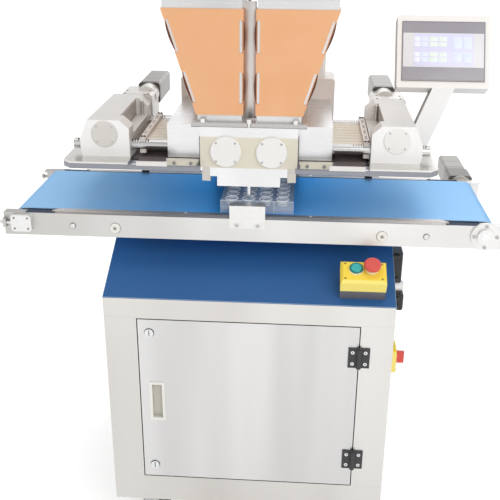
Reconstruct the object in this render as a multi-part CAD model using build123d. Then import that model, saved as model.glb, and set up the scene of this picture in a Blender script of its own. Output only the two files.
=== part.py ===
from build123d import *
import math
import os

# Chocolate depositor. Millimetres, +Z up, floor at Z = 0, X = 0 in the middle of the conveyor and the head.
# Shapes are drawn with Y = 0 at the cabinet's front face, and saved with Y = 0 in the middle of the depth.

# Fits
RUN = 0.05  # radial clearance of a shaft, rod or piston in its bore
APART = 0.3  # gap between pieces that pass each other
EPS = 1.0  # overshoot of a cutting tool past the face that it cuts

# Cabinet
CABINET_WIDTH = 700.0
CABINET_DEPTH = 660.0
CABINET_SHIFT = 8.0  # the cabinet stands this far to the right of the conveyor's middle
FRONT_HEIGHT = 598.0  # front face, from the bottom to the foot of the slope
SLOPE_DEPTH = 240.0
SLOPE_ANGLE = 25.6
SHEET = 2.0

# Door, hinges and latches
DOOR_MARGIN = 81.5  # from the cabinet's sides
DOOR_FROM_TOP = 57.0
DOOR_FROM_BOTTOM = 78.5
DOOR_GAP = 2.5
DOOR_THICK = 18.0
FRAME_RETURN = 20.0  # depth of the flange round the door opening
HINGE_HEIGHT = 53.0
HINGE_INSET = 82.0  # hinge middle from the door's top and bottom edge
LEAF_WIDTH = 26.0
LEAF_THICK = 4.0
KNUCKLE_RADIUS = 6.0
KNUCKLE_GAP = 0.4  # from the door's face and round the other leaf's knuckles
HINGE_PIN_RADIUS = 2.5
HINGE_PIN_HEAD = 2.0
LATCH_INSET = 28.0
LATCH_INSET_Z = 36.0
LATCH_RADIUS = 8.0
LATCH_HEAD_RADIUS = 11.0
LATCH_HEAD_THICK = 3.0
LATCH_SLOT_LENGTH = 16.0
LATCH_SLOT_WIDTH = 2.0
LATCH_SLOT_DEPTH = 2.0
CAM_LENGTH = 42.0
CAM_WIDTH = 11.0
CAM_THICK = 3.0
CAM_GAP = 0.5  # behind the frame's flange
PULL_WIDTH = 39.0
PULL_HEIGHT = 112.0
PULL_DEPTH = 14.0
PULL_RIM = 5.0
PULL_INSET = 22.0

# Casters
CASTER_INSET = 66.0
CASTER_RISE = 27.0  # from the wheels' tops to the cabinet's floor
CASTER_PLATE = 64.0
CASTER_PLATE_THICK = 4.0
RACE_RADIUS = 22.0
RACE_HEIGHT = 7.0
CROWN_THICK = 4.0
KINGPIN_RADIUS = 6.0
KINGPIN_HEAD_RADIUS = 9.0
KINGPIN_HEAD = 4.0
WHEEL_RADIUS = 37.5
WHEEL_WIDTH = 24.0
TYRE_THICK = 8.0
TYRE_EDGE = 3.0
HUB_RECESS = 2.0
HUB_WALL = 5.0
AXLE_RADIUS = 4.0
FORK_GAP = 2.0
FORK_PLATE = 3.0
CHEEK_HALF = 11.0
CHEEK_ABOVE_AXLE = 12.0
CHEEK_BELOW_AXLE = 9.0
CHEEK_SKIRT = 10.0
AXLE_PROUD = 2.0
TRAIL = 30.0
PEDAL_LENGTH = 56.0
PEDAL_THICK = 4.0
PEDAL_ANGLE = 14.0  # pressed down, its underside just off the tyre
PEDAL_GAP = 5.0  # from the kingpin's head
PEDAL_BARREL_RADIUS = 5.0
PEDAL_PIN_RADIUS = 2.5

# Button box on the slope
BOX_FROM_RIGHT = 133.5  # the box's left side from the cabinet's right side
BOX_WIDTH = 107.0
BOX_UP_SLOPE = 22.0
BOX_LENGTH = 66.0
BOX_BASE = 28.0
BOX_LID = 35.0
BOX_WALL = 3.0
LID_TOP_WALL = 8.0
LID_EDGE = 6.0
BUTTON_UP = 38.0  # button middles from the box's lower edge, along the slope
GREEN_FROM_LEFT = 36.0
GREEN_RADIUS = 13.0
GREEN_PROUD = 8.0
GREEN_EDGE = 1.5
RED_FROM_LEFT = 72.5
MUSHROOM_RADIUS = 20.0
MUSHROOM_THICK = 11.0
MUSHROOM_PROUD = 25.0
MUSHROOM_ROUND = 6.0
STEM_RADIUS = 8.0
STEM_BELOW = 12.0
BUTTON_FOOT = 3.0  # the foot under the lid is this much wider all round

# Right wall: isolator, vent, connectors
ISOLATOR_SIDE = 60.0
ISOLATOR_SETBACK = 45.0
ISOLATOR_RISE = 441.0  # rises on this wall are from the cabinet's floor
ISOLATOR_PLATE = 12.0
ISOLATOR_ROUND = 5.0
KNOB_RADIUS = 13.0
KNOB_BASE = 8.0
KNOB_BAR = 13.0
KNOB_BAR_WIDTH = 9.0
KNOB_BAR_PAST = 2.0
KNOB_SHAFT_RADIUS = 5.0
KNOB_SHAFT = 28.0
ISOLATOR_BODY = 45.0
ISOLATOR_BODY_SIDE = 50.0
VENT_SIDE = 110.0
VENT_SETBACK = 90.0
VENT_RISE = 168.0
VENT_PROUD = 4.0
VENT_SLOTS = 7
VENT_SLOT = 7.0
VENT_SLOT_INSET = 12.0
VENT_LAP = 8.0  # of the grille over the hole's edge
HOOD_SETBACK = 200.0
HOOD_WIDTH = 50.0
HOOD_STEP = 4.0
HOOD_ROUND = 6.0
HOOD_FLANGE = 5.0
UPPER_HOOD_RISE = 579.0
UPPER_HOOD_HEIGHT = 85.0
UPPER_HOOD_PROUD = 30.0
LOWER_HOOD_RISE = 501.0
LOWER_HOOD_HEIGHT = 45.0
LOWER_HOOD_PROUD = 40.0

# Conveyor
BELT_WIDTH = 300.0
BELT_SETBACK = 107.6
BELT_ABOVE_RAIL = 4.0
BELT_THICK = 2.0
ROLLER_RADIUS = 26.0
ROLLER_SHORT = 4.0  # the drums are this much narrower than the belt
IDLER_X = -548.0
DRIVE_X = 560.0
SHAFT_RADIUS = 10.0
SHAFT_ROOM = 2.0
TENSION_TRAVEL = 8.0
RAIL_OUT = 26.0  # from the belt's edge to the rail's outer face
RAIL_RISE = 7.0  # above the cabinet's top
RAIL_HEIGHT = 57.0
RAIL_PAST_IDLER = 45.0
RAIL_PAST_DRIVE = 49.0
RAIL_WALL = 3.0
RAIL_FLANGE = 24.0
GUIDE_SHORT = 30.0  # the guides end this far before the slider bed
GUIDE_WIDTH = 15.0
GUIDE_THICK = 5.0
GUIDE_FROM_BELT = 1.5
FLANGE_RADIUS = 34.0
BEARING_THICK = 12.0
BEARING_WALL = 10.0
BLOCK_LENGTH = 50.0
BLOCK_HEIGHT = 42.0
BLOCK_EDGE = 5.0
TENSION_SCREW_RADIUS = 4.0
TENSION_SCREW_LENGTH = 30.0
TENSION_HEAD_RADIUS = 7.0
TENSION_HEAD = 6.0
LUG_THICK = 8.0
LUG_WALL = 4.0
CROSS_BAR_RADIUS = 8.0
CROSS_BAR_RISE = 25.0  # above the rails' lower edges
INNER_BAR_X = 320.0
OUTER_BAR_X = 424.0
BED_FROM_IDLER = 43.0
BED_PLATE = 3.0
BED_INSET = 8.0
ARM_X = 250.0
ARM_WIDTH = 60.0
ARM_INSET = 17.4  # behind the front rail's face
SENSOR_PLATE_WIDTH = 85.0
SENSOR_PLATE_RISE = 34.0  # above the rail's lower edge
SENSOR_PLATE_HEIGHT = 57.0
SENSOR_PLATE_THICK = 3.0
SENSOR_LIP = 22.0
EYE_WIDTH = 30.0
EYE_DEPTH = 16.0
EYE_HEIGHT = 22.0
STOP_X = 307.0
STOP_LENGTH = 20.0
STOP_DEPTH = 10.0
STOP_HEIGHT = 8.0
STOP_INSET = 2.0
BELT_GEARBOX_SIDE = 64.0
BELT_GEARBOX_LENGTH = 66.0
BELT_MOTOR_SIDE = 58.0
BELT_MOTOR_LENGTH = 140.0

# Base plate and columns
PLATE_RISE = 110.0  # underside above the belt
PLATE_THICK = 17.0
PLATE_HALF = 440.0
PLATE_SETBACK = 85.0
PLATE_PAST_HEAD = 120.0
PLATE_CORNER = 20.0
PLATE_MID_SETBACK = 132.0  # front edge between the drives and the head
POCKET_OUTER = 282.0
POCKET_INNER = 200.0
POCKET_DEPTH = 7.0
COLUMN_X = 78.0
COLUMN_WIDTH = 80.0
COLUMN_FROM_RAIL = 26.4
COLUMN_DEPTH = 80.0
COLUMN_WALL = 5.0
COLUMN_FOOT = 18.0
COLUMN_FOOT_THICK = 10.0

# Head
BODY_HALF = 115.0
BODY_RISE = 1.0  # valve body's underside above the base plate's
HEAD_HEIGHT = 82.0  # above the base plate
HEAD_SETBACK = 117.0
HEAD_PAST_ROD = 40.0
BEAM_HEIGHT = 23.0
FACE_PLATE = 10.0
BODY_GAP = 3.0  # round the valve body in the base plate
SPOOL_X = 54.0
SPOOL_RADIUS = 22.0
SPOOL_SHAFT_RADIUS = 9.0
SPOOL_SHAFT = 14.0
SPOOL_POCKET = 14.0
COVER_RADIUS = 36.5
COVER_THICK = 8.0
COVER_EDGE = 1.5
BLOCK_OUTER = 195.0
CYLINDER_SETBACK = 138.0
STRIP_THICK = 10.0
STRIP_OUTER = 197.0
BORE_ROOF = 2.0  # left over the spool bores, under the feed bars
FEED_SLOT = 16.0
FEED_PAST = 14.0  # beyond the first and last piston's axes
PORT_RADIUS = 5.0
OUTLET_RADIUS = 3.0

# Nozzles
BAR_UPPER_HALF = 92.0
BAR_LOWER_HALF = 75.0
BAR_UPPER = 21.0
BAR_LOWER = 24.0
BAR_PAST_NOZZLE = 20.0
NOZZLE_COUNT = 8
NOZZLE_RADIUS = 5.0
NOZZLE_BORE = 2.5
NOZZLE_LENGTH = 32.5
NOZZLE_TAPER = 8.0
NOZZLE_TIP_RADIUS = 3.8
BRACKET_WIDTH = 20.0
BRACKET_HEIGHT = 36.0
BRACKET_SETBACK = 127.0

# Piston drives
DRIVE_INNER = 286.0
DRIVE_OUTER = 405.0
DRIVE_HEIGHT = 88.0
DRIVE_SETBACK = 135.0
INNER_CHAMFER_X = 22.0
INNER_CHAMFER_Z = 20.0
SHOULDER_X = 19.0  # outer edge of the top from the widest place
SHOULDER_Z = 46.0
WINDOW_INSET = 51.0  # inner window from the housing's front and rear face
WINDOW_RISE = 46.0  # rises in the drives are above the base plate
WINDOW_REACH = 31.0  # from the inner side to where the top begins
CAVITY_REACH = 86.0
CAVITY_RISE = 28.0
CAVITY_ROOF = 6.0
PINION_X = 345.0
PINION_BORE = 23.0
SPIGOT = 13.0
DRIVE_COVER_RADIUS = 32.0
DRIVE_COVER_THICK = 3.0
DRIVE_SHAFT_RADIUS = 12.0
DRIVE_SHAFT_REAR = 20.0
DRIVE_FOOT_RISE = 16.0
DRIVE_FOOT_INSET = 4.0
MODULE = 2.0
TEETH = 20
PRESSURE_ANGLE = 20.0
DEDENDUM = 2.5
BACKLASH = 0.2
PINION_WIDTH = 20.0
ROD_RADIUS = 12.5
ROD_RISE = 24.0
ROD_FROM_PISTON = 28.0  # rod axes from the nearest piston's axis
ROD_SETBACK = 27.0  # rod axes from the housing's front and rear face
ROD_OUTER = 426.0
ROD_IN_BLOCK = 15.0
RACK_TEETH = 28
RACK_SPARE = 1  # spaces past the end of the stroke
STROKE = 60.0
LEFT_ADVANCE = 19.0  # the left pistons stand this far into their stroke
YOKE_THICK = 14.0
YOKE_HEIGHT = 38.0
YOKE_BACK_GAP = 2.0
YOKE_PAST_ROD = 8.0  # the bar grips each rod this far past its middle
PISTON_COUNT = 8
PISTON_PITCH = 26.0
PISTON_RADIUS = 10.0
PISTON_IN_BLOCK = 12.0
GEAR_BLOCK_WIDTH = 88.0
GEAR_BLOCK_LENGTH = 100.0
GEAR_BLOCK_EDGE = 6.0
RIGHT_BLOCK_INNER = 305.0
LEFT_BLOCK_INNER = 283.0
RIGHT_MOTOR_X = 342.0
LEFT_MOTOR_X = 309.0
MOTOR_RISE = 70.0
ARCH_RADIUS = 28.5
MOTOR_SIDE = 60.0
MOTOR_FLANGE = 9.0
MOTOR_GROOVE = 4.0
MOTOR_GROOVE_SIDE = 52.0
MOTOR_LENGTH = 173.0
MOTOR_EDGE = 6.0

# Valve drive box behind the head
REAR_BOX_HALF = 205.0
REAR_BOX_DEPTH = 105.0
REAR_BOX_HEIGHT = 136.0
REAR_BOX_EDGE = 6.0
VALVE_MOTOR_X = 149.0
VALVE_MOTOR_FROM_HEAD = 40.0
VALVE_MOTOR_HEIGHT = 115.0

# Hoppers
HOPPER_INNER = 17.5
HOPPER_OUTER_LOW = 121.0
HOPPER_OUTER_HIGH = 197.0
HOPPER_SETBACK = 131.5
HOPPER_DEPTH = 260.0
HOPPER_WALL = 2.0
HOPPER_NECK = 26.0
HOPPER_TAPER = 238.0
HOPPER_RIM = 28.0
RIM_WIDTH = 7.0
HOPPER_FLANGE = 10.0
FLANGE_INNER = 4.0
FLANGE_OUTER = 135.0
FLANGE_LIP = 13.5
JACKET_THICK = 3.0
JACKET_RETURN = 30.0
JACKET_SLOT_HEIGHT = 72.0
JACKET_SLOT_REACH = 9.0
LOW_SLOT = 27.0  # lower slot's foot above the jacket's lower edge
HIGH_SLOT = 142.0
BOLT_RADIUS = 5.0
BOLT_HEAD_RADIUS = 7.0
BOLT_HEAD = 9.0
BOLT_FROM_HOPPER = 8.0
BOLT_OUTER_X = 108.0

# Touch screen
SCREEN_WIDTH = 226.0
SCREEN_HEIGHT = 184.0
SCREEN_DEPTH = 42.0
SCREEN_TILT = 28.0
SCREEN_X = 464.0
SCREEN_SETBACK = 300.0
SCREEN_RISE = 146.0  # lower front edge above the base plate
SCREEN_ROUND = 4.0
PANEL_WIDTH = 200.0
PANEL_HEIGHT = 148.0
PANEL_THICK = 6.0
PANEL_PROUD = 2.0
PANEL_UP = 20.0  # panel's lower edge above the housing's lower edge
SCREEN_ARM_WIDTH = 54.0
SCREEN_ARM_DEPTH = 30.0
SCREEN_ARM_LEAN = 0.365  # sideways per unit of height

# Mould on the belt
MOULD_WIDTH = 175.0
MOULD_HEIGHT = 31.0
MOULD_FROM_FRONT = 6.0  # of the belt
MOULD_FROM_REAR = 19.0
MOULD_WALL = 2.5
CUP_DEPTH = 14.0
CUP_FLOOR = 2.0
CUP_RADIUS = 14.5
CUP_FLOOR_RADIUS = 10.5
CUP_COLUMNS = 4
CUP_PITCH_X = 41.0
CUP_MARGIN = 18.5  # first and last cup from the mould's ends

# Electrical panel in the cabinet
ELECTRIC_MARGIN = 110.0  # from the cabinet's sides
ELECTRIC_HEIGHT = 420.0
ELECTRIC_RISE = 118.0
ELECTRIC_BORDER = 40.0
ELECTRIC_THICK = 3.0
ELECTRIC_STANDOFF = 20.0
STANDOFF_RADIUS = 8.0
DRIVE_UNITS = 4
DRIVE_UNIT_WIDTH = 60.0
DRIVE_UNIT_HEIGHT = 170.0
DRIVE_UNIT_DEPTH = 130.0
DRIVE_UNIT_PITCH = 90.0
CONTROLLER_WIDTH = 190.0
CONTROLLER_HEIGHT = 95.0
CONTROLLER_DEPTH = 75.0
SUPPLY_WIDTH = 110.0
SUPPLY_HEIGHT = 125.0
SUPPLY_DEPTH = 110.0

# Places that follow from the sizes above
CABINET_LEFT = CABINET_SHIFT - CABINET_WIDTH / 2
CABINET_RIGHT = CABINET_SHIFT + CABINET_WIDTH / 2
CABINET_BOTTOM = 2 * WHEEL_RADIUS + CASTER_RISE
CROWN_TOP = CABINET_BOTTOM - CASTER_PLATE_THICK - RACE_HEIGHT - APART
PEDAL_PIVOT_X = KINGPIN_HEAD_RADIUS + PEDAL_GAP + PEDAL_BARREL_RADIUS
PEDAL_PIVOT_Z = CROWN_TOP - CROWN_THICK - APART - PEDAL_BARREL_RADIUS
FRONT_TOP = CABINET_BOTTOM + FRONT_HEIGHT
CONSOLE_TOP = FRONT_TOP + SLOPE_DEPTH * math.tan(math.radians(SLOPE_ANGLE))
DOOR_LEFT = CABINET_LEFT + DOOR_MARGIN
DOOR_RIGHT = CABINET_RIGHT - DOOR_MARGIN
DOOR_TOP = FRONT_TOP - DOOR_FROM_TOP
DOOR_BOTTOM = CABINET_BOTTOM + DOOR_FROM_BOTTOM
HINGE_X = DOOR_RIGHT + DOOR_GAP / 2
HINGE_Y = -KNUCKLE_RADIUS - KNUCKLE_GAP
LATCH_X = DOOR_LEFT + LATCH_INSET
CAM_FRONT = FRAME_RETURN + CAM_GAP
ISOLATOR_Z = CABINET_BOTTOM + ISOLATOR_RISE
VENT_Z = CABINET_BOTTOM + VENT_RISE
RAIL_LEFT = IDLER_X - RAIL_PAST_IDLER
RAIL_RIGHT = DRIVE_X + RAIL_PAST_DRIVE
RAIL_BOTTOM = CONSOLE_TOP + RAIL_RISE
RAIL_TOP = RAIL_BOTTOM + RAIL_HEIGHT
BELT_TOP = RAIL_TOP + BELT_ABOVE_RAIL
BELT_REAR = BELT_SETBACK + BELT_WIDTH
ROLLER_Z = BELT_TOP - BELT_THICK - ROLLER_RADIUS
RAIL_FRONT_FACE = BELT_SETBACK - RAIL_OUT
RAIL_REAR_FACE = BELT_REAR + RAIL_OUT
CROSS_BAR_Z = RAIL_BOTTOM + CROSS_BAR_RISE
BED_HALF = -IDLER_X - BED_FROM_IDLER
SENSOR_PLATE_LOW = RAIL_BOTTOM + SENSOR_PLATE_RISE
SENSOR_PLATE_TOP = SENSOR_PLATE_LOW + SENSOR_PLATE_HEIGHT
PLATE_BOTTOM = BELT_TOP + PLATE_RISE
PLATE_TOP = PLATE_BOTTOM + PLATE_THICK
BODY_BOTTOM = PLATE_BOTTOM + BODY_RISE
HEAD_TOP = PLATE_TOP + HEAD_HEIGHT
ROD_Z = PLATE_TOP + ROD_RISE
FEED_LEVEL = ROD_Z + SPOOL_RADIUS + BORE_ROOF
PITCH = math.pi * MODULE
PITCH_RADIUS = MODULE * TEETH / 2
RACK_LINE = ROD_Z + ROD_RADIUS - MODULE
PINION_Z = RACK_LINE + PITCH_RADIUS
FRONT_ROD_Y = DRIVE_SETBACK + ROD_SETBACK
PISTON_YS = [FRONT_ROD_Y + ROD_FROM_PISTON + i * PISTON_PITCH for i in range(PISTON_COUNT)]
REAR_ROD_Y = PISTON_YS[-1] + ROD_FROM_PISTON
DRIVE_REAR = REAR_ROD_Y + ROD_SETBACK
DRIVE_TOP = PLATE_TOP + DRIVE_HEIGHT
RACK_OUTSIDE = math.ceil(STROKE / PITCH) + RACK_SPARE
YOKE_REST = DRIVE_INNER - YOKE_BACK_GAP - YOKE_THICK
GEAR_BLOCK_REAR = DRIVE_REAR + GEAR_BLOCK_LENGTH
MOTOR_Z = PLATE_TOP + MOTOR_RISE
MOTOR_REAR = GEAR_BLOCK_REAR + MOTOR_LENGTH
HEAD_REAR = REAR_ROD_Y + HEAD_PAST_ROD
FEED_FRONT = PISTON_YS[0] - FEED_PAST
FEED_REAR = PISTON_YS[-1] + FEED_PAST
PLATE_REAR = HEAD_REAR + PLATE_PAST_HEAD
REAR_BOX_TOP = PLATE_TOP + REAR_BOX_HEIGHT
MOULD_FRONT = BELT_SETBACK + MOULD_FROM_FRONT
MOULD_REAR = BELT_REAR - MOULD_FROM_REAR
NOZZLE_PITCH = (MOULD_REAR - MOULD_FRONT - 2 * CUP_MARGIN) / (NOZZLE_COUNT - 1)
NOZZLE_YS = [MOULD_FRONT + CUP_MARGIN + i * NOZZLE_PITCH for i in range(NOZZLE_COUNT)]
NOZZLE_TOP = BODY_BOTTOM - BAR_UPPER - BAR_LOWER
BAR_REAR = NOZZLE_YS[-1] + BAR_PAST_NOZZLE
HOPPER_REAR = HOPPER_SETBACK + HOPPER_DEPTH
NECK_TOP = HEAD_TOP + HOPPER_NECK
TAPER_TOP = NECK_TOP + HOPPER_TAPER
HOPPER_TOP = TAPER_TOP + HOPPER_RIM
BOLT_YS = (HOPPER_SETBACK - BOLT_FROM_HOPPER, HOPPER_REAR + BOLT_FROM_HOPPER)
BOLT_XS = (-BOLT_OUTER_X, 0, BOLT_OUTER_X)
SCREEN_BOTTOM = PLATE_TOP + SCREEN_RISE
DEPTH_MIDDLE = (MOTOR_REAR + HINGE_Y - KNUCKLE_RADIUS) / 2

os.makedirs("parts", exist_ok=True)


def save(name, *pieces):
    """Write one node, each of its solids kept apart, with Y = 0 in the middle of the machine's depth."""
    solids = [solid for piece in pieces for solid in piece.solids()]
    shape = solids[0] if len(solids) == 1 else Compound(solids)
    export_step(Pos(0, -DEPTH_MIDDLE, 0) * shape, f"parts/{name}.step")


def span(x0, x1, y0, y1, z0, z1):
    """A box between two corners."""
    return Pos((x0 + x1) / 2, (y0 + y1) / 2, (z0 + z1) / 2) * Box(abs(x1 - x0), abs(y1 - y0), abs(z1 - z0))


def rod_x(x0, x1, y, z, radius):
    return Pos((x0 + x1) / 2, y, z) * Rot(Y=90) * Cylinder(radius, abs(x1 - x0))


def rod_y(x, y0, y1, z, radius):
    return Pos(x, (y0 + y1) / 2, z) * Rot(X=90) * Cylinder(radius, abs(y1 - y0))


def rod_z(x, y, z0, z1, radius):
    return Pos(x, y, (z0 + z1) / 2) * Cylinder(radius, abs(z1 - z0))


def prism_x(points, x0, x1):
    """An outline of (y, z) points, drawn out along X."""
    face = make_face(Polyline([(x0, y, z) for y, z in points], close=True))
    return extrude(face, amount=x1 - x0, dir=(1, 0, 0))


def prism_y(points, y0, y1):
    """An outline of (x, z) points, drawn out along Y."""
    face = make_face(Polyline([(x, y0, z) for x, z in points], close=True))
    return extrude(face, amount=y1 - y0, dir=(0, 1, 0))


def prism_z(points, z0, z1):
    """An outline of (x, y) points, drawn out along Z."""
    face = make_face(Polyline([(x, y, z0) for x, y in points], close=True))
    return extrude(face, amount=z1 - z0, dir=(0, 0, 1))


def other_side(piece):
    """The mirror image on the other side of the machine's middle."""
    return mirror(piece, about=Plane.YZ)


def other_rail(piece):
    """The mirror image at the conveyor's rear rail."""
    return mirror(piece, about=Plane.XZ.offset(-(RAIL_FRONT_FACE + RAIL_REAR_FACE) / 2))


# Cabinet: sheet-metal shell, blue console top, door


def cabinet_shell():
    """Front, back, sides and floor, open under the console top, with a flange round the door opening."""
    outline = [
        (0, CABINET_BOTTOM),
        (CABINET_DEPTH, CABINET_BOTTOM),
        (CABINET_DEPTH, CONSOLE_TOP - SHEET),
        (SLOPE_DEPTH, CONSOLE_TOP - SHEET),
        (0, FRONT_TOP - SHEET),
    ]
    shell = prism_x(outline, CABINET_LEFT, CABINET_RIGHT)
    shell -= span(
        CABINET_LEFT + SHEET,
        CABINET_RIGHT - SHEET,
        SHEET,
        CABINET_DEPTH - SHEET,
        CABINET_BOTTOM + SHEET,
        CONSOLE_TOP + EPS,
    )
    left = DOOR_LEFT - DOOR_GAP
    right = DOOR_RIGHT + DOOR_GAP
    bottom = DOOR_BOTTOM - DOOR_GAP
    top = DOOR_TOP + DOOR_GAP
    shell += span(left - SHEET, right + SHEET, 0, FRAME_RETURN, bottom - SHEET, top + SHEET)
    shell -= span(left, right, -EPS, FRAME_RETURN + EPS, bottom, top)
    shell -= rod_x(
        CABINET_RIGHT - SHEET - EPS,
        CABINET_RIGHT + EPS,
        ISOLATOR_SETBACK,
        ISOLATOR_Z,
        KNOB_SHAFT_RADIUS + RUN,
    )
    vent_hole = VENT_SIDE / 2 - VENT_LAP
    shell -= span(
        CABINET_RIGHT - SHEET - EPS,
        CABINET_RIGHT + EPS,
        VENT_SETBACK - vent_hole,
        VENT_SETBACK + vent_hole,
        VENT_Z - vent_hole,
        VENT_Z + vent_hole,
    )
    return shell


def console_top():
    """Blue sheet over the slope and the flat top behind it."""
    outline = [
        (0, FRONT_TOP - SHEET),
        (SLOPE_DEPTH, CONSOLE_TOP - SHEET),
        (CABINET_DEPTH, CONSOLE_TOP - SHEET),
        (CABINET_DEPTH, CONSOLE_TOP),
        (SLOPE_DEPTH, CONSOLE_TOP),
        (0, FRONT_TOP),
    ]
    return prism_x(outline, CABINET_LEFT, CABINET_RIGHT)


def latch_places():
    """Latch axis heights, with the way the cam points when it is open: down or up."""
    return [(DOOR_TOP - LATCH_INSET_Z, -1), (DOOR_BOTTOM + LATCH_INSET_Z, 1)]


def pull_limits():
    left = DOOR_LEFT + PULL_INSET
    middle = (DOOR_TOP + DOOR_BOTTOM) / 2
    return left, left + PULL_WIDTH, middle - PULL_HEIGHT / 2, middle + PULL_HEIGHT / 2


def cabinet_door():
    """A pressed tray: skin and four folded edges, with the latch holes and the cut-out for the pull."""
    door = span(DOOR_LEFT, DOOR_RIGHT, 0, DOOR_THICK, DOOR_BOTTOM, DOOR_TOP)
    door -= span(
        DOOR_LEFT + SHEET,
        DOOR_RIGHT - SHEET,
        SHEET,
        DOOR_THICK + EPS,
        DOOR_BOTTOM + SHEET,
        DOOR_TOP - SHEET,
    )
    for height, _ in latch_places():
        door -= rod_y(LATCH_X, -EPS, SHEET + EPS, height, LATCH_RADIUS + RUN)
    x0, x1, z0, z1 = pull_limits()
    door -= span(x0 + PULL_RIM, x1 - PULL_RIM, -EPS, SHEET + EPS, z0 + PULL_RIM, z1 - PULL_RIM)
    return door


def door_pull():
    """Recessed pull: a rim on the skin and a dish behind it."""
    x0, x1, z0, z1 = pull_limits()
    rim = span(x0, x1, -SHEET, 0, z0, z1)
    dish = span(x0 + PULL_RIM, x1 - PULL_RIM, -SHEET, PULL_DEPTH, z0 + PULL_RIM, z1 - PULL_RIM)
    inside = PULL_RIM + SHEET
    hollow = span(x0 + inside, x1 - inside, -SHEET - EPS, PULL_DEPTH - SHEET, z0 + inside, z1 - inside)
    return rim + dish - hollow


def latch(height, way):
    """Quarter-turn latch: slotted head, barrel, collar behind the skin, and the cam."""
    piece = rod_y(LATCH_X, -LATCH_HEAD_THICK, -RUN, height, LATCH_HEAD_RADIUS)
    piece += rod_y(LATCH_X, -LATCH_HEAD_THICK, CAM_FRONT + CAM_THICK, height, LATCH_RADIUS)
    piece += rod_y(LATCH_X, SHEET + RUN, SHEET + RUN + LATCH_HEAD_THICK, height, LATCH_HEAD_RADIUS)
    half = CAM_WIDTH / 2
    ends = sorted((height, height + way * CAM_LENGTH))
    piece += span(LATCH_X - half, LATCH_X + half, CAM_FRONT, CAM_FRONT + CAM_THICK, *ends)
    slot = Box(LATCH_SLOT_WIDTH, 2 * LATCH_SLOT_DEPTH, LATCH_SLOT_LENGTH)
    return piece - Pos(LATCH_X, -LATCH_HEAD_THICK, height) * slot


def hinge_heights():
    return [DOOR_TOP - HINGE_INSET, DOOR_BOTTOM + HINGE_INSET]


def hinge_leaf(middle, side):
    """One leaf: the frame's (side 1) has the middle knuckle, the door's (side -1) the two outer ones."""
    third = HINGE_HEIGHT / 3
    bottom = middle - HINGE_HEIGHT / 2
    x_far = HINGE_X + side * LEAF_WIDTH
    top = bottom + HINGE_HEIGHT
    leaf = span(HINGE_X, x_far, -LEAF_THICK, 0, bottom, top)
    own = [1] if side > 0 else [0, 2]
    for index in range(3):
        z0 = bottom + index * third
        z1 = z0 + third
        if index in own:
            leaf += rod_z(HINGE_X, HINGE_Y, z0 + APART / 2, z1 - APART / 2, KNUCKLE_RADIUS)
        else:
            leaf -= rod_z(HINGE_X, HINGE_Y, z0 - APART / 2, z1 + APART / 2, KNUCKLE_RADIUS + KNUCKLE_GAP)
    beyond = HINGE_X - side * KNUCKLE_RADIUS
    leaf -= span(beyond, HINGE_X + side * DOOR_GAP / 2, -KNUCKLE_GAP, EPS, bottom - EPS, top + EPS)
    return leaf - rod_z(HINGE_X, HINGE_Y, bottom - EPS, top + EPS, HINGE_PIN_RADIUS + RUN)


def hinge_pin(middle):
    half = HINGE_HEIGHT / 2
    pin = rod_z(HINGE_X, HINGE_Y, middle - half, middle + half, HINGE_PIN_RADIUS)
    top = middle + half
    return pin + rod_z(HINGE_X, HINGE_Y, top, top + HINGE_PIN_HEAD, HINGE_PIN_RADIUS + HINGE_PIN_HEAD)


# Casters: swivel plate with kingpin, fork with axle, wheel, brake pedal on the front ones


def caster_places():
    """Swivel axes: front left, front right, rear left, rear right."""
    left = CABINET_LEFT + CASTER_INSET
    right = CABINET_RIGHT - CASTER_INSET
    front = CASTER_INSET
    rear = CABINET_DEPTH - CASTER_INSET
    return [(left, front), (right, front), (left, rear), (right, rear)]


def caster_plate(x, y):
    half = CASTER_PLATE / 2
    top = CABINET_BOTTOM
    plate = span(x - half, x + half, y - half, y + half, top - CASTER_PLATE_THICK, top)
    plate += rod_z(x, y, top - CASTER_PLATE_THICK - RACE_HEIGHT, top, RACE_RADIUS)
    below = CROWN_TOP - CROWN_THICK - APART
    plate += rod_z(x, y, below - KINGPIN_HEAD, top, KINGPIN_RADIUS)
    return plate + rod_z(x, y, below - KINGPIN_HEAD, below, KINGPIN_HEAD_RADIUS)


def caster_fork(x, y, braked):
    """Crown under the race, two cheeks down to the axle, the axle and, on a braked one, the pedal's pin."""
    top = CROWN_TOP
    inside = WHEEL_WIDTH / 2 + FORK_GAP
    outside = inside + FORK_PLATE
    axle_x = x + TRAIL
    cheek = [
        (x - RACE_RADIUS, top),
        (x + RACE_RADIUS, top),
        (axle_x + CHEEK_HALF, WHEEL_RADIUS + CHEEK_ABOVE_AXLE),
        (axle_x + CHEEK_HALF, WHEEL_RADIUS - CHEEK_BELOW_AXLE),
        (axle_x - CHEEK_HALF, WHEEL_RADIUS - CHEEK_BELOW_AXLE),
        (x - RACE_RADIUS, top - CHEEK_SKIRT),
    ]
    fork = span(x - RACE_RADIUS, x + RACE_RADIUS, y - outside, y + outside, top - CROWN_THICK, top)
    fork += prism_y(cheek, y - outside, y - inside)
    fork += prism_y(cheek, y + inside, y + outside)
    axle_end = outside + AXLE_PROUD
    fork += rod_y(axle_x, y - axle_end, y + axle_end, WHEEL_RADIUS, AXLE_RADIUS)
    if braked:
        fork += rod_y(x + PEDAL_PIVOT_X, y - outside, y + outside, PEDAL_PIVOT_Z, PEDAL_PIN_RADIUS)
    return fork - rod_z(x, y, top - CROWN_THICK - EPS, top + EPS, KINGPIN_RADIUS + RUN)


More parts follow.
